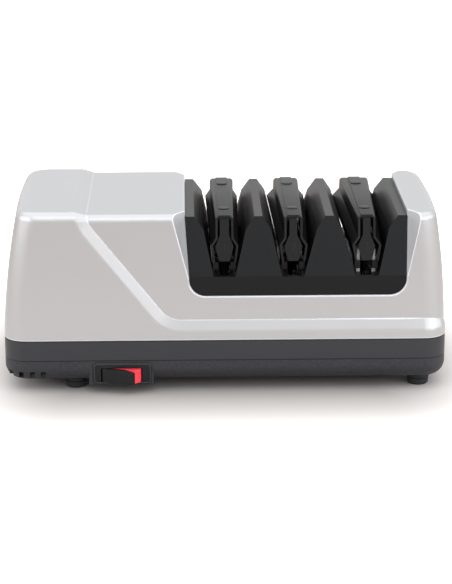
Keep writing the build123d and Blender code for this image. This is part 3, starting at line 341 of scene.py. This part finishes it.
def make_finish(name, color, roughness, metallic=0.0, shade=0.05, polish=0.05, slow=30.0,
                grain=1800.0, pits=0.4, bump=0.0, bump_mm=0.05, coat=0.0,
                coat_roughness=0.1, specular=0.5, painted_seams=(), edge_mm=0.0, edge_highlight_color=None):
    """A material with uneven colour, roughness, bump, painted seam lines, soft edges and
    a painted edge highlight.
    """
    material = bpy.data.materials.new(name)
    material.use_nodes = True
    net = material.node_tree
    uneven = add_node(net, "ShaderNodeGroup", {
        "Color": (*color, 1),
        "Roughness": roughness,
        "Scale": slow,
        "Shade": shade,
        "Polish": polish,
    }, node_tree=uneven_group)
    tone = uneven.outputs["Color"]
    for level, half, factor in painted_seams:
        line = add_node(net, "ShaderNodeGroup", {
            "Color": tone,
            "Level": level * MM,
            "Half": half * MM,
            "Factor": factor,
        }, node_tree=painted_seam_group)
        tone = line.outputs["Color"]
    normal = {}
    if edge_mm:
        soft_edge = add_node(net, "ShaderNodeBevel", {"Radius": edge_mm * MM}, samples=6)
        normal = {"Normal": soft_edge.outputs["Normal"]}
    # The edge colour is a painted highlight, lighter along the edges.
    if edge_highlight_color:
        tone = lighten_edges(net, tone, normal["Normal"], edge_highlight_color)
    if bump:
        texture = add_node(net, "ShaderNodeGroup", {"Size": grain, "Pits": pits},
                           node_tree=grain_group)
        raised = add_node(net, "ShaderNodeBump", {
            "Height": texture.outputs["Height"],
            "Strength": bump,
            "Distance": bump_mm * MM,
            **normal,
        })
        normal = {"Normal": raised.outputs["Normal"]}
    set_inputs(net, net.nodes["Principled BSDF"], {
        "Base Color": tone,
        "Roughness": uneven.outputs["Roughness"],
        "Metallic": metallic,
        "Coat Weight": coat,
        "Coat Roughness": coat_roughness,
        "Specular IOR Level": specular,
        **normal,
    })
    return material


def finish_nodes(material, *names):
    """Gives a material to CAD nodes by name."""
    for name in names:
        nodes[name].data.materials.clear()
        nodes[name].data.materials.append(material)


print("casings meet at", BASE_TOP, BAND_TOP, "and", DECK, "mm")

# %% [markdown]
# The housing is moulded plastic with a metallic paint: a warm light grey with flakes
# that catch the lamps softly, under a thin clear coat.

# %% Silver paint
# Along its edges, and in a line at its lower rim just above the band, a highlight is
# painted into the colour.
silver_paint = make_finish(
    "silver_paint", (0.475, 0.462, 0.460), 0.31, metallic=0.42, shade=0.03, polish=0.03,
    slow=9.0, grain=5200.0, pits=0.3, bump=0.10, bump_mm=0.02,
    coat=0.25, coat_roughness=0.12,
    painted_seams=((BAND_TOP, 0.55, 1.35),), edge_mm=0.9, edge_highlight_color=(0.80, 0.82, 0.86),
)
finish_nodes(silver_paint, "top_housing")
print("painted:", silver_paint.name)

# %% [markdown]
# Band, base and guides are dark plastics that differ in their mould: the band is satin,
# the base has a coarse spark-eroded grain, the guides, tray and strips are fine and
# matte. The stage numbers are a shade lighter than the posts that carry them.

# %% Dark plastics
# On band, base and guides the seam lines are painted shade in the gaps where the casings
# meet.
charcoal_band = make_finish(
    "charcoal_band", (0.026, 0.0255, 0.030), 0.40, shade=0.12, polish=0.05, slow=14.0,
    grain=3600.0, bump=0.12, bump_mm=0.03, specular=0.40,
    painted_seams=((BASE_TOP, 0.32, 0.12), (BAND_TOP, 0.75, 0.10)), edge_mm=0.5,
)
black_base = make_finish(
    "black_base", (0.023, 0.0225, 0.027), 0.50, shade=1.6, polish=0.25, slow=520.0,
    grain=900.0, pits=0.8, bump=0.6, bump_mm=0.14, specular=0.40,
    painted_seams=((BASE_TOP, 0.32, 0.15),),
)
black_guides = make_finish(
    "black_guides", (0.0045, 0.0045, 0.005), 0.32, shade=0.15, polish=0.06, slow=25.0,
    grain=3000.0, bump=0.12, bump_mm=0.03, specular=0.22, painted_seams=((DECK, 0.3, 0.1),),
)
tray_black = make_finish(
    "tray_black", (0.006, 0.006, 0.006), 0.36, shade=0.15, polish=0.06, slow=25.0,
    grain=3000.0, bump=0.12, bump_mm=0.03, specular=0.20,
)
strip_black = make_finish(
    "strip_black", (0.005, 0.005, 0.005), 0.36, shade=0.15, polish=0.08, slow=35.0,
    grain=3400.0, bump=0.10, bump_mm=0.03, specular=0.20,
)
number_black = make_finish("number_black", (0.012, 0.010, 0.009), 0.45, shade=0.1,
                           specular=0.2)
finish_nodes(charcoal_band, "trim_band")
finish_nodes(black_base, "base_pan", "cleanout_cover")
finish_nodes(black_guides, "tooth_left", "tooth_middle_a", "tooth_middle_b",
             "tooth_right", "guide_post_1", "guide_post_2", "guide_post_3",
             "dresser_lever", "cooling_fan", "bearing_stand")
finish_nodes(tray_black, "guide_tray")
finish_nodes(strip_black, "guide_spring_1", "guide_spring_2", "guide_spring_3",
             "spring_rivets")
print("dark plastics:", 6)

# %% [markdown]
# The switch has a semi-gloss black cap and bezel and a bright red rocker body.

# %% Switch plastics
switch_black = make_finish("switch_black", (0.008, 0.008, 0.0085), 0.30, shade=0.1,
                           slow=50.0, grain=4200.0, bump=0.06, bump_mm=0.02,
                           specular=0.28)
switch_red = make_finish("switch_red", (1.0, 0.055, 0.080), 0.34, shade=0.06, slow=50.0,
                         grain=4200.0, bump=0.05, bump_mm=0.02)
finish_nodes(switch_black, "switch_bezel", "rocker_cap")
finish_nodes(switch_red, "rocker_core")
print("switch finishes:", 2)

# %% [markdown]
# Metals: bright ground steel, zinc plated screws and brackets, dull laminations,
# bronze bushings, brass blades, copper wire, and the fine grit of the disks. With them
# come the nylon bobbin, the pale stropping disks, the magnet and the rubber of the feet.

# %% Metals and the rest
bright_steel = make_finish("bright_steel", (0.66, 0.66, 0.67), 0.24, metallic=1.0,
                           shade=0.05, grain=2500.0, bump=0.08, bump_mm=0.02)
zinc_steel = make_finish("zinc_steel", (0.60, 0.61, 0.62), 0.36, metallic=1.0,
                         shade=0.12, slow=80.0, grain=2500.0, bump=0.10, bump_mm=0.03)
lamination = make_finish("lamination", (0.25, 0.25, 0.26), 0.50, metallic=0.9, shade=0.2,
                         slow=90.0, grain=1500.0, bump=0.2)
rotor_metal = make_finish("rotor_metal", (0.55, 0.55, 0.56), 0.38, metallic=1.0,
                          shade=0.1, grain=2000.0, bump=0.1)
bronze = make_finish("bronze", (0.45, 0.30, 0.15), 0.45, metallic=0.9, shade=0.2,
                     slow=90.0, grain=2500.0, bump=0.2)
brass = make_finish("brass", (0.72, 0.55, 0.24), 0.32, metallic=1.0, shade=0.1,
                    grain=2500.0, bump=0.1)
copper = make_finish("copper_winding", (0.55, 0.24, 0.10), 0.38, metallic=0.85,
                     shade=0.2, slow=120.0, grain=1200.0, bump=0.3)
nylon = make_finish("nylon", (0.80, 0.77, 0.66), 0.50, shade=0.06, grain=3000.0, bump=0.1)
grit = make_finish("grit", (0.50, 0.49, 0.46), 0.55, metallic=0.6, shade=0.5, slow=900.0,
                   grain=4500.0, pits=1.0, bump=0.6, bump_mm=0.05)
strop = make_finish("strop", (0.80, 0.78, 0.74), 0.60, shade=0.4, slow=500.0,
                    grain=3800.0, pits=0.8, bump=0.5, bump_mm=0.05)
ferrite = make_finish("ferrite", (0.05, 0.05, 0.055), 0.6, shade=0.3, grain=2000.0,
                      bump=0.3)
foot_rubber = make_finish("foot_rubber", (0.014, 0.014, 0.015), 0.66, shade=0.2,
                          slow=90.0, grain=2600.0, bump=0.25, bump_mm=0.05,
                          specular=0.35)
finish_nodes(bright_steel, "drive_shaft", "drive_pins", "dresser_pivot",
             "disk_spring_1", "disk_spring_2", "disk_spring_3")
finish_nodes(zinc_steel, "motor_bracket_front", "motor_bracket_rear", "motor_bolts",
             "bracket_screws", "tooth_screws", "foot_screws", "case_screws")
finish_nodes(lamination, "motor_stator", "motor_core_bar")
finish_nodes(rotor_metal, "rotor_core")
finish_nodes(bronze, "motor_bushing_front", "motor_bushing_rear", "end_bushing")
finish_nodes(brass, "switch_terminals")
finish_nodes(copper, "motor_coil")
finish_nodes(nylon, "motor_bobbin")
finish_nodes(grit, "disk_1a", "disk_1b", "disk_2a", "disk_2b", "dresser_pads")
finish_nodes(strop, "disk_3a", "disk_3b")
finish_nodes(ferrite, "dust_magnet")
finish_nodes(foot_rubber, "foot_front_left", "foot_rear_left", "foot_front_right",
             "foot_rear_right", "cord_gland")
print("materials:", len(bpy.data.materials))


# %% [markdown]
# Tools for modelling by hand. Everything is deselected before a new primitive is
# added, and a finished piece gets its material and its body in one call.
# What repeats is modelled once and copied, each copy with a mesh of its own.

# %% Modelling helpers
SMOOTH_ANGLE = math.radians(35)  # edges sharper than this stay sharp in shading


def start_fresh():
    """Leaves edit mode and selects nothing."""
    if bpy.context.object and bpy.context.object.mode != "OBJECT":
        bpy.ops.object.mode_set(mode="OBJECT")
    bpy.ops.object.select_all(action="DESELECT")


def settle(piece, name, material):
    """Applies the piece's place, shades it, and rides it on the body of the case."""
    start_fresh()
    bpy.context.view_layer.objects.active = piece
    piece.select_set(True)
    bpy.ops.object.transform_apply(location=True, rotation=True, scale=True)
    bpy.ops.object.shade_smooth_by_angle(angle=SMOOTH_ANGLE)
    piece.name = name
    piece.data.name = name
    piece.data.materials.clear()
    piece.data.materials.append(material)
    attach(piece, "root")
    return piece


def settle_copies(piece, places, material):
    """Copies a modelled piece to named places, in mm, and removes the first one."""
    copies = []
    for name, place in places.items():
        copy = bpy.data.objects.new(name, piece.data.copy())
        scene.collection.objects.link(copy)
        copy.location = Vector(place) * MM
        copies.append(settle(copy, name, material))
    bpy.data.objects.remove(piece)
    return copies


def apply_modifier(kind, **settings):
    """Adds a modifier to the active piece and applies it."""
    piece = bpy.context.object
    modifier = piece.modifiers.new(kind.lower(), kind)
    for key, value in settings.items():
        setattr(modifier, key, value)
    bpy.ops.object.modifier_apply(modifier=modifier.name)


def round_edges(width, segments=2, **settings):
    """Leaves edit mode and bevels the sharp edges of the active piece, in mm."""
    bpy.ops.object.mode_set(mode="OBJECT")
    apply_modifier("BEVEL", width=width * MM, segments=segments, limit_method="ANGLE",
                   **settings)


def select_facing(way):
    """Selects the faces of the open piece that face up (1) or down (-1)."""
    data = bmesh.from_edit_mesh(bpy.context.object.data)
    for face in data.faces:
        face.select = face.normal.z * way > 0.9
    data.select_flush(False)


def open_block(size, place=(0, 0, 0), way=1):
    """Adds a block, in mm, and opens it with its upper or its lower face selected."""
    start_fresh()
    bpy.ops.mesh.primitive_cube_add(size=1, location=Vector(place) * MM)
    bpy.context.object.scale = Vector(size) * MM
    bpy.ops.object.transform_apply(location=False, rotation=False, scale=True)
    bpy.ops.object.mode_set(mode="EDIT")
    select_facing(way)
    return bpy.context.object


# %% [markdown]
# Each stage is covered by a folded plastic strip, riveted to the post below it. It hugs
# the post at the front and spreads towards the back, where the heel of a blade enters.
# One half is drawn as a row of faces from the middle of its top down to its foot, each
# pulled out of the last as a new edge with its own front and back point. A mirror makes
# the other half, a solidify gives the sheet its thickness, and a bevel rounds its folds.

# %% Tools for a strip
STAGES = (-0.5, 37.3, 77.5)  # middle of each stage along the body, mm
GUIDE_TOP, DECK_REACH, LEAN = 98.5, 51.4, 8.2
STRIP_TOP = GUIDE_TOP + 0.2
STRIP_PROUD = 0.9  # how far a strip stands out in front of its post
LEAN_ANGLE = math.atan2(LEAN, GUIDE_TOP - DECK)


def lean_reach(z, proud):
    """How far the leaning front of the guides reaches at height z, plus a margin."""
    return DECK_REACH - LEAN * (z - DECK) / (GUIDE_TOP - DECK) + proud


def select_numbers(numbers):
    """Selects the vertices with these numbers, and the edge between them."""
    data = bmesh.from_edit_mesh(bpy.context.object.data)
    bpy.ops.mesh.select_all(action="DESELECT")
    data.verts.ensure_lookup_table()
    for number in numbers:
        data.verts[number].select = True
    data.select_flush(True)


def carry(number, point):
    """Moves one vertex of the open mesh to a point, both in the piece's own axes."""
    data = bmesh.from_edit_mesh(bpy.context.object.data)
    bpy.ops.mesh.select_all(action="DESELECT")
    data.verts.ensure_lookup_table()
    vertex = data.verts[number]
    vertex.select = True
    bpy.ops.transform.translate(value=Vector(point) - vertex.co)


def pull_edge(front_point, back_point):
    """Extrudes the selected edge and carries its two ends to their places."""
    bpy.ops.mesh.extrude_region_move()
    data = bmesh.from_edit_mesh(bpy.context.object.data)
    ends = sorted((v for v in data.verts if v.select), key=lambda v: v.co.y)
    numbers = [v.index for v in ends]
    for number, point in zip(numbers, (front_point, back_point)):
        carry(number, point)
    select_numbers(numbers)


print("a strip leans", round(math.degrees(LEAN_ANGLE), 1), "degrees")


# %% Fold a strip
FOLD = 1.2  # height and width of the slope along a strip's upper edges, mm
FOOT_Z, SHEET = 74.3, 1.2  # lower edge and thickness of a strip, mm


def fold_points(half, flare, flare_z, foot):
    """Half of a strip's outline at one end, from its top down to its foot, in mm."""
    straight_z = flare_z + 3.0 + (flare - half) * 0.4
    return [(0, STRIP_TOP), (half - FOLD, STRIP_TOP), (half, STRIP_TOP - FOLD),
            (half, straight_z), (flare, flare_z), (foot, FOOT_Z)]


def fold_strip(name, middle, front, back):
    """A strip over one stage, from the outlines of its front and its back end."""
    start_fresh()
    bpy.ops.mesh.primitive_plane_add(size=0.002, location=(middle * MM, 0, 0))
    bpy.ops.object.mode_set(mode="EDIT")
    bpy.ops.mesh.select_mode(type="VERT")
    rows = [
        [Vector((x, end * lean_reach(z, STRIP_PROUD), z)) * MM for x, z in outline]
        for end, outline in ((-1, front), (1, back))
    ]
    data = bmesh.from_edit_mesh(bpy.context.object.data)
    corners = {(v.co.x > 0, v.co.y > 0): v.index for v in data.verts}
    for (right_side, rear), number in corners.items():
        carry(number, rows[int(rear)][int(right_side)])
    select_numbers([corners[(True, False)], corners[(True, True)]])
    for front_point, back_point in zip(rows[0][2:], rows[1][2:]):
        pull_edge(front_point, back_point)
    bpy.ops.object.mode_set(mode="OBJECT")
    apply_modifier("MIRROR", use_clip=True, merge_threshold=0.0001)
    apply_modifier("SOLIDIFY", thickness=SHEET * MM, offset=-1, use_even_offset=True)
    round_edges(0.3, segments=3, angle_limit=math.radians(25))
    return settle(bpy.context.object, name, strip_black)


STRIP_ENDS = (  # half width, flare, height of the flare and foot, at front and back, mm
    ((4.9, 7.6, 83.0, 6.4), (6.8, 9.5, 87.5, 6.6)),
    ((4.95, 7.8, 83.0, 6.4), (7.2, 11.0, 87.5, 7.95)),
    ((4.75, 8.0, 83.0, 6.4), (8.4, 12.2, 87.5, 8.35)),
)
for number, (middle, (front, back)) in enumerate(zip(STAGES, STRIP_ENDS), start=1):
    strip = fold_strip(f"strip_{number}", middle, fold_points(*front), fold_points(*back))
    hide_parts(f"guide_spring_{number}")
    print(strip.name, len(strip.data.vertices), "vertices")

# %% [markdown]
# A raised rib runs along each strip and stiffens it. It is a block whose top is drawn in
# a little and lifted, so that its long edges slope, and whose edges are then rounded.

# %% Ribs
RIB_WIDE, RIB_HIGH, RIB_MIDDLE = 6.8, 0.5, STRIP_TOP + 0.15
rib_reach = lean_reach(STRIP_TOP + 0.3, STRIP_PROUD)
for number, middle in enumerate(STAGES, start=1):
    rib = open_block((RIB_WIDE, 2 * rib_reach, RIB_HIGH), (middle, 0, RIB_MIDDLE))
    bpy.ops.mesh.inset(thickness=0.25 * MM, depth=0.2 * MM)
    round_edges(0.12)
    settle(rib, f"strip_rib_{number}", strip_black)
print("ribs:", len(STAGES))

# %% [markdown]
# Two rivets hold each strip. A rivet's head is a low dome in a flat ring, with a fine
# groove between them, and its shank goes down through the strip. The head starts as a
# thin disk: its top is inset for the ring, sunk for the groove, then inset and raised in
# steps for the dome. Its underside is inset and drawn down for the shank.

# %% Rivets
HEAD_RADIUS, HEAD_THICK = 3.1, 0.3
HEAD_MIDDLE = STRIP_TOP + 0.6 + HEAD_THICK / 2
RIVET_Y = 28.39
SHANK_INSET, SHANK_LONG = 1.6, 7.0
RING_AND_GROOVE = ((0.3, 0), (0.08, -0.22), (0.3, 0))  # inward, upward, mm
DOME = ((0.08, 0.22), (0.5, 0.14), (0.6, 0.10), (0.6, 0.05))

start_fresh()
bpy.ops.mesh.primitive_cylinder_add(vertices=40, radius=HEAD_RADIUS * MM,
                                    depth=HEAD_THICK * MM,
                                    location=(0, 0, HEAD_MIDDLE * MM))
rivet = bpy.context.object
bpy.ops.object.mode_set(mode="EDIT")
select_facing(1)
for inward, upward in RING_AND_GROOVE + DOME:
    bpy.ops.mesh.inset(thickness=inward * MM, depth=upward * MM)
select_facing(-1)
bpy.ops.mesh.inset(thickness=SHANK_INSET * MM, depth=0)
bpy.ops.mesh.extrude_region_move(
    TRANSFORM_OT_translate={"value": (0, 0, -SHANK_LONG * MM)})
round_edges(0.08, angle_limit=math.radians(50))
places = {
    f"rivet_{number}_{end}": (middle, y, HEAD_MIDDLE)
    for number, middle in enumerate(STAGES, start=1)
    for end, y in (("front", -RIVET_Y), ("back", RIVET_Y))
}
for copy in settle_copies(rivet, places, strip_black):
    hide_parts("spring_rivets")
print("rivets:", len(places))

# %% [markdown]
# The foot of each post carries its stage number, raised by a tenth of a millimetre. The
# numbers are text turned into mesh, laid on the leaning face.

# %% Stage numbers
NUMBER_Z, NUMBER_SIZE = DECK + 15.2, 6.4
NUMBER_RAISED, NUMBER_ROUND, NUMBER_SUNK = 0.10, 0.04, 0.4
for number, middle in enumerate(STAGES, start=1):
    start_fresh()
    bpy.ops.object.text_add(location=(0, 0, 0))
    text = bpy.context.object
    text.data.body = str(number)
    text.data.size = NUMBER_SIZE * MM
    text.data.align_x, text.data.align_y = "CENTER", "CENTER"
    text.data.extrude = NUMBER_RAISED * MM
    text.data.bevel_depth = NUMBER_ROUND * MM
    bpy.ops.object.convert(target="MESH")
    piece = bpy.context.object
    piece.rotation_euler = (math.radians(90) - LEAN_ANGLE, 0, 0)
    piece.location = Vector((middle, -lean_reach(NUMBER_Z, -NUMBER_SUNK), NUMBER_Z)) * MM
    settle(piece, f"stage_number_{number}", number_black)
print("stage numbers: 1 to", len(STAGES))

# %% [markdown]
# Stage three polishes instead of grinding, and a pale stropping lip shows low in each
# of its two slots. A lip is a block, narrowed at its top and rounded, copied to both
# sides of the post.

# %% Stropping lips
LIP_SIZE, LIP_Y = (2.1, 0.9, 13.0), -42.4
lip = open_block(LIP_SIZE)
bpy.ops.transform.resize(value=(0.7, 0.8, 1))
round_edges(0.2)
places = {
    f"strop_lip_{side}": (STAGES[2] + offset, LIP_Y, DECK + LIP_SIZE[2] / 2)
    for side, offset in (("left", -4.2), ("right", 4.4))
}
settle_copies(lip, places, strop)
print("stropping lips:", len(places))

# %% [markdown]
# The first air slot runs along the whole left end of the base. A small baffle stands in
# it behind each corner, so that no light shines through. It is a thin block whose foot
# is drawn in.

# %% Vent baffles
BAFFLE_SIZE, BAFFLE_X, BAFFLE_Y, BAFFLE_Z = (3.4, 1.6, 5.0), -119.4, 41.0, 10.6
baffle = open_block(BAFFLE_SIZE, way=-1)
bpy.ops.transform.resize(value=(0.8, 0.7, 1))
round_edges(0.2)
places = {
    f"vent_baffle_{end}": (BAFFLE_X, y, BAFFLE_Z)
    for end, y in (("front", -BAFFLE_Y), ("rear", BAFFLE_Y))
}
settle_copies(baffle, places, foot_rubber)
print("vent baffles:", len(places))

# %% [markdown]
# A fine raised rim runs round the bezel of the switch. It is a flat plate whose corners
# are bevelled round; the plate is inset, its middle removed, and the ring made solid.

# %% Bezel rim
BEZEL_X, BEZEL_FRONT, BEZEL_Z = -57.3, -54.85, 12.05
RIM_LONG, RIM_HIGH, RIM_CORNER = 31.8, 11.5, 2.2
RIM_WIDE, RIM_THICK = 0.7, 0.35
start_fresh()
bpy.ops.mesh.primitive_plane_add(size=1, location=(0, 0, 0))
rim = bpy.context.object
rim.scale = (RIM_LONG * MM, RIM_HIGH * MM, 1)
bpy.ops.object.transform_apply(location=False, rotation=False, scale=True)
bpy.ops.object.mode_set(mode="EDIT")
bpy.ops.mesh.select_all(action="SELECT")
bpy.ops.mesh.bevel(offset=RIM_CORNER * MM, segments=6, affect="VERTICES")
bpy.ops.mesh.select_all(action="SELECT")
bpy.ops.mesh.inset(thickness=RIM_WIDE * MM)
bpy.ops.mesh.delete(type="FACE")
bpy.ops.object.mode_set(mode="OBJECT")
apply_modifier("SOLIDIFY", thickness=RIM_THICK * MM, offset=0)
round_edges(0.1)
rim.rotation_euler = (math.radians(90), 0, 0)
rim.location = Vector((BEZEL_X, BEZEL_FRONT, BEZEL_Z)) * MM
settle(rim, "bezel_rim", charcoal_band)
print("bezel rim:", len(rim.data.vertices), "vertices")

# %% [markdown]
# The floor is one wide plane that keeps the soft shadow. Its colour is painted too: dark
# right at the body as a painted shadow, pale a few centimetres out, and darker again
# farther off as painted shade, which the front of the housing reflects darker at its top.
# Away from the body it fades to the white of the surround, to the camera and in
# reflections, so that no horizon shows. Seen from below it is clear, so that the
# underside can be looked at. All of this goes by the distance from a rectangle that
# lies under the body.

# %% Floor
UNDER_BODY = (0.085, 0.055, 0)  # half the rectangle, in metres
FADE_NEAR, FADE_FAR = 0.020, 0.155
MIRROR_NEAR, MIRROR_FAR = 1.2, 2.5
# The paper's ramp holds a painted shadow at the body and painted shade far off.
PAPER_AND_PAINTED_SHADE = (  # place on the ramp, which covers half a metre, and colour
    (0.0, (0.50, 0.455, 0.425)),
    (0.12, (0.95, 0.87, 0.81)),
    (0.7, (0.68, 0.575, 0.515)),
)

start_fresh()
bpy.ops.mesh.primitive_plane_add(size=8, location=(0, 0, 0))
floor = bpy.context.object
floor.name = "floor"
floor_paper = bpy.data.materials.new("floor_paper")
floor_paper.use_nodes = True
net = floor_paper.node_tree
net.nodes.clear()
place = add_node(net, "ShaderNodeTexCoord")
mirror_half = add_node(net, "ShaderNodeVectorMath", {0: place.outputs["Object"]},
                       operation="ABSOLUTE")
outside = add_node(net, "ShaderNodeVectorMath", {
    0: mirror_half.outputs[0],
    1: UNDER_BODY,
}, operation="SUBTRACT")
clear_of = add_node(net, "ShaderNodeVectorMath", {
    0: outside.outputs[0],
    1: (0, 0, 0),
}, operation="MAXIMUM")
reach = add_node(net, "ShaderNodeVectorMath", {0: clear_of.outputs[0]},
                 operation="LENGTH")
distance = reach.outputs["Value"]

span = add_node(net, "ShaderNodeMath", {0: distance, 1: 2.0}, operation="MULTIPLY")
painted_shade_ramp = add_node(net, "ShaderNodeValToRGB", {"Fac": span.outputs[0]})
while len(painted_shade_ramp.color_ramp.elements) < len(PAPER_AND_PAINTED_SHADE):
    painted_shade_ramp.color_ramp.elements.new(0.5)
for element, (position, color) in zip(painted_shade_ramp.color_ramp.elements, PAPER_AND_PAINTED_SHADE):
    element.position = position
    element.color = (*color, 1)
paper = add_node(net, "ShaderNodeBsdfDiffuse", {"Color": painted_shade_ramp.outputs["Color"]})

fade = add_node(net, "ShaderNodeMapRange", {
    "Value": distance,
    "From Min": FADE_NEAR,
    "From Max": FADE_FAR,
}, interpolation_type="SMOOTHSTEP")
lift = add_node(net, "ShaderNodeEmission", {
    "Color": WHITE,
    "Strength": fade.outputs["Result"],
})
far = add_node(net, "ShaderNodeMapRange", {
    "Value": distance,
    "From Min": MIRROR_NEAR,
    "From Max": MIRROR_FAR,
}, interpolation_type="SMOOTHSTEP")
seen = add_node(net, "ShaderNodeLightPath")
mirrored = add_node(net, "ShaderNodeMath", {
    0: seen.outputs["Is Glossy Ray"],
    1: far.outputs["Result"],
}, operation="MULTIPLY")
either = add_node(net, "ShaderNodeMath", {
    0: seen.outputs["Is Camera Ray"],
    1: mirrored.outputs[0],
}, operation="MAXIMUM")
nothing = add_node(net, "ShaderNodeEmission", {"Color": (0, 0, 0, 1), "Strength": 0.0})
pick = add_node(net, "ShaderNodeMixShader", {
    "Fac": either.outputs[0],
    1: nothing.outputs[0],
    2: lift.outputs[0],
})
total = add_node(net, "ShaderNodeAddShader", {0: paper.outputs[0], 1: pick.outputs[0]})

below = add_node(net, "ShaderNodeNewGeometry")
clear = add_node(net, "ShaderNodeBsdfTransparent")
one_sided = add_node(net, "ShaderNodeMixShader", {
    "Fac": below.outputs["Backfacing"],
    1: total.outputs[0],
    2: clear.outputs[0],
})
add_node(net, "ShaderNodeOutputMaterial", {"Surface": one_sided.outputs[0]})
floor.data.materials.append(floor_paper)
print("floor:", tuple(round(d, 2) for d in floor.dimensions))
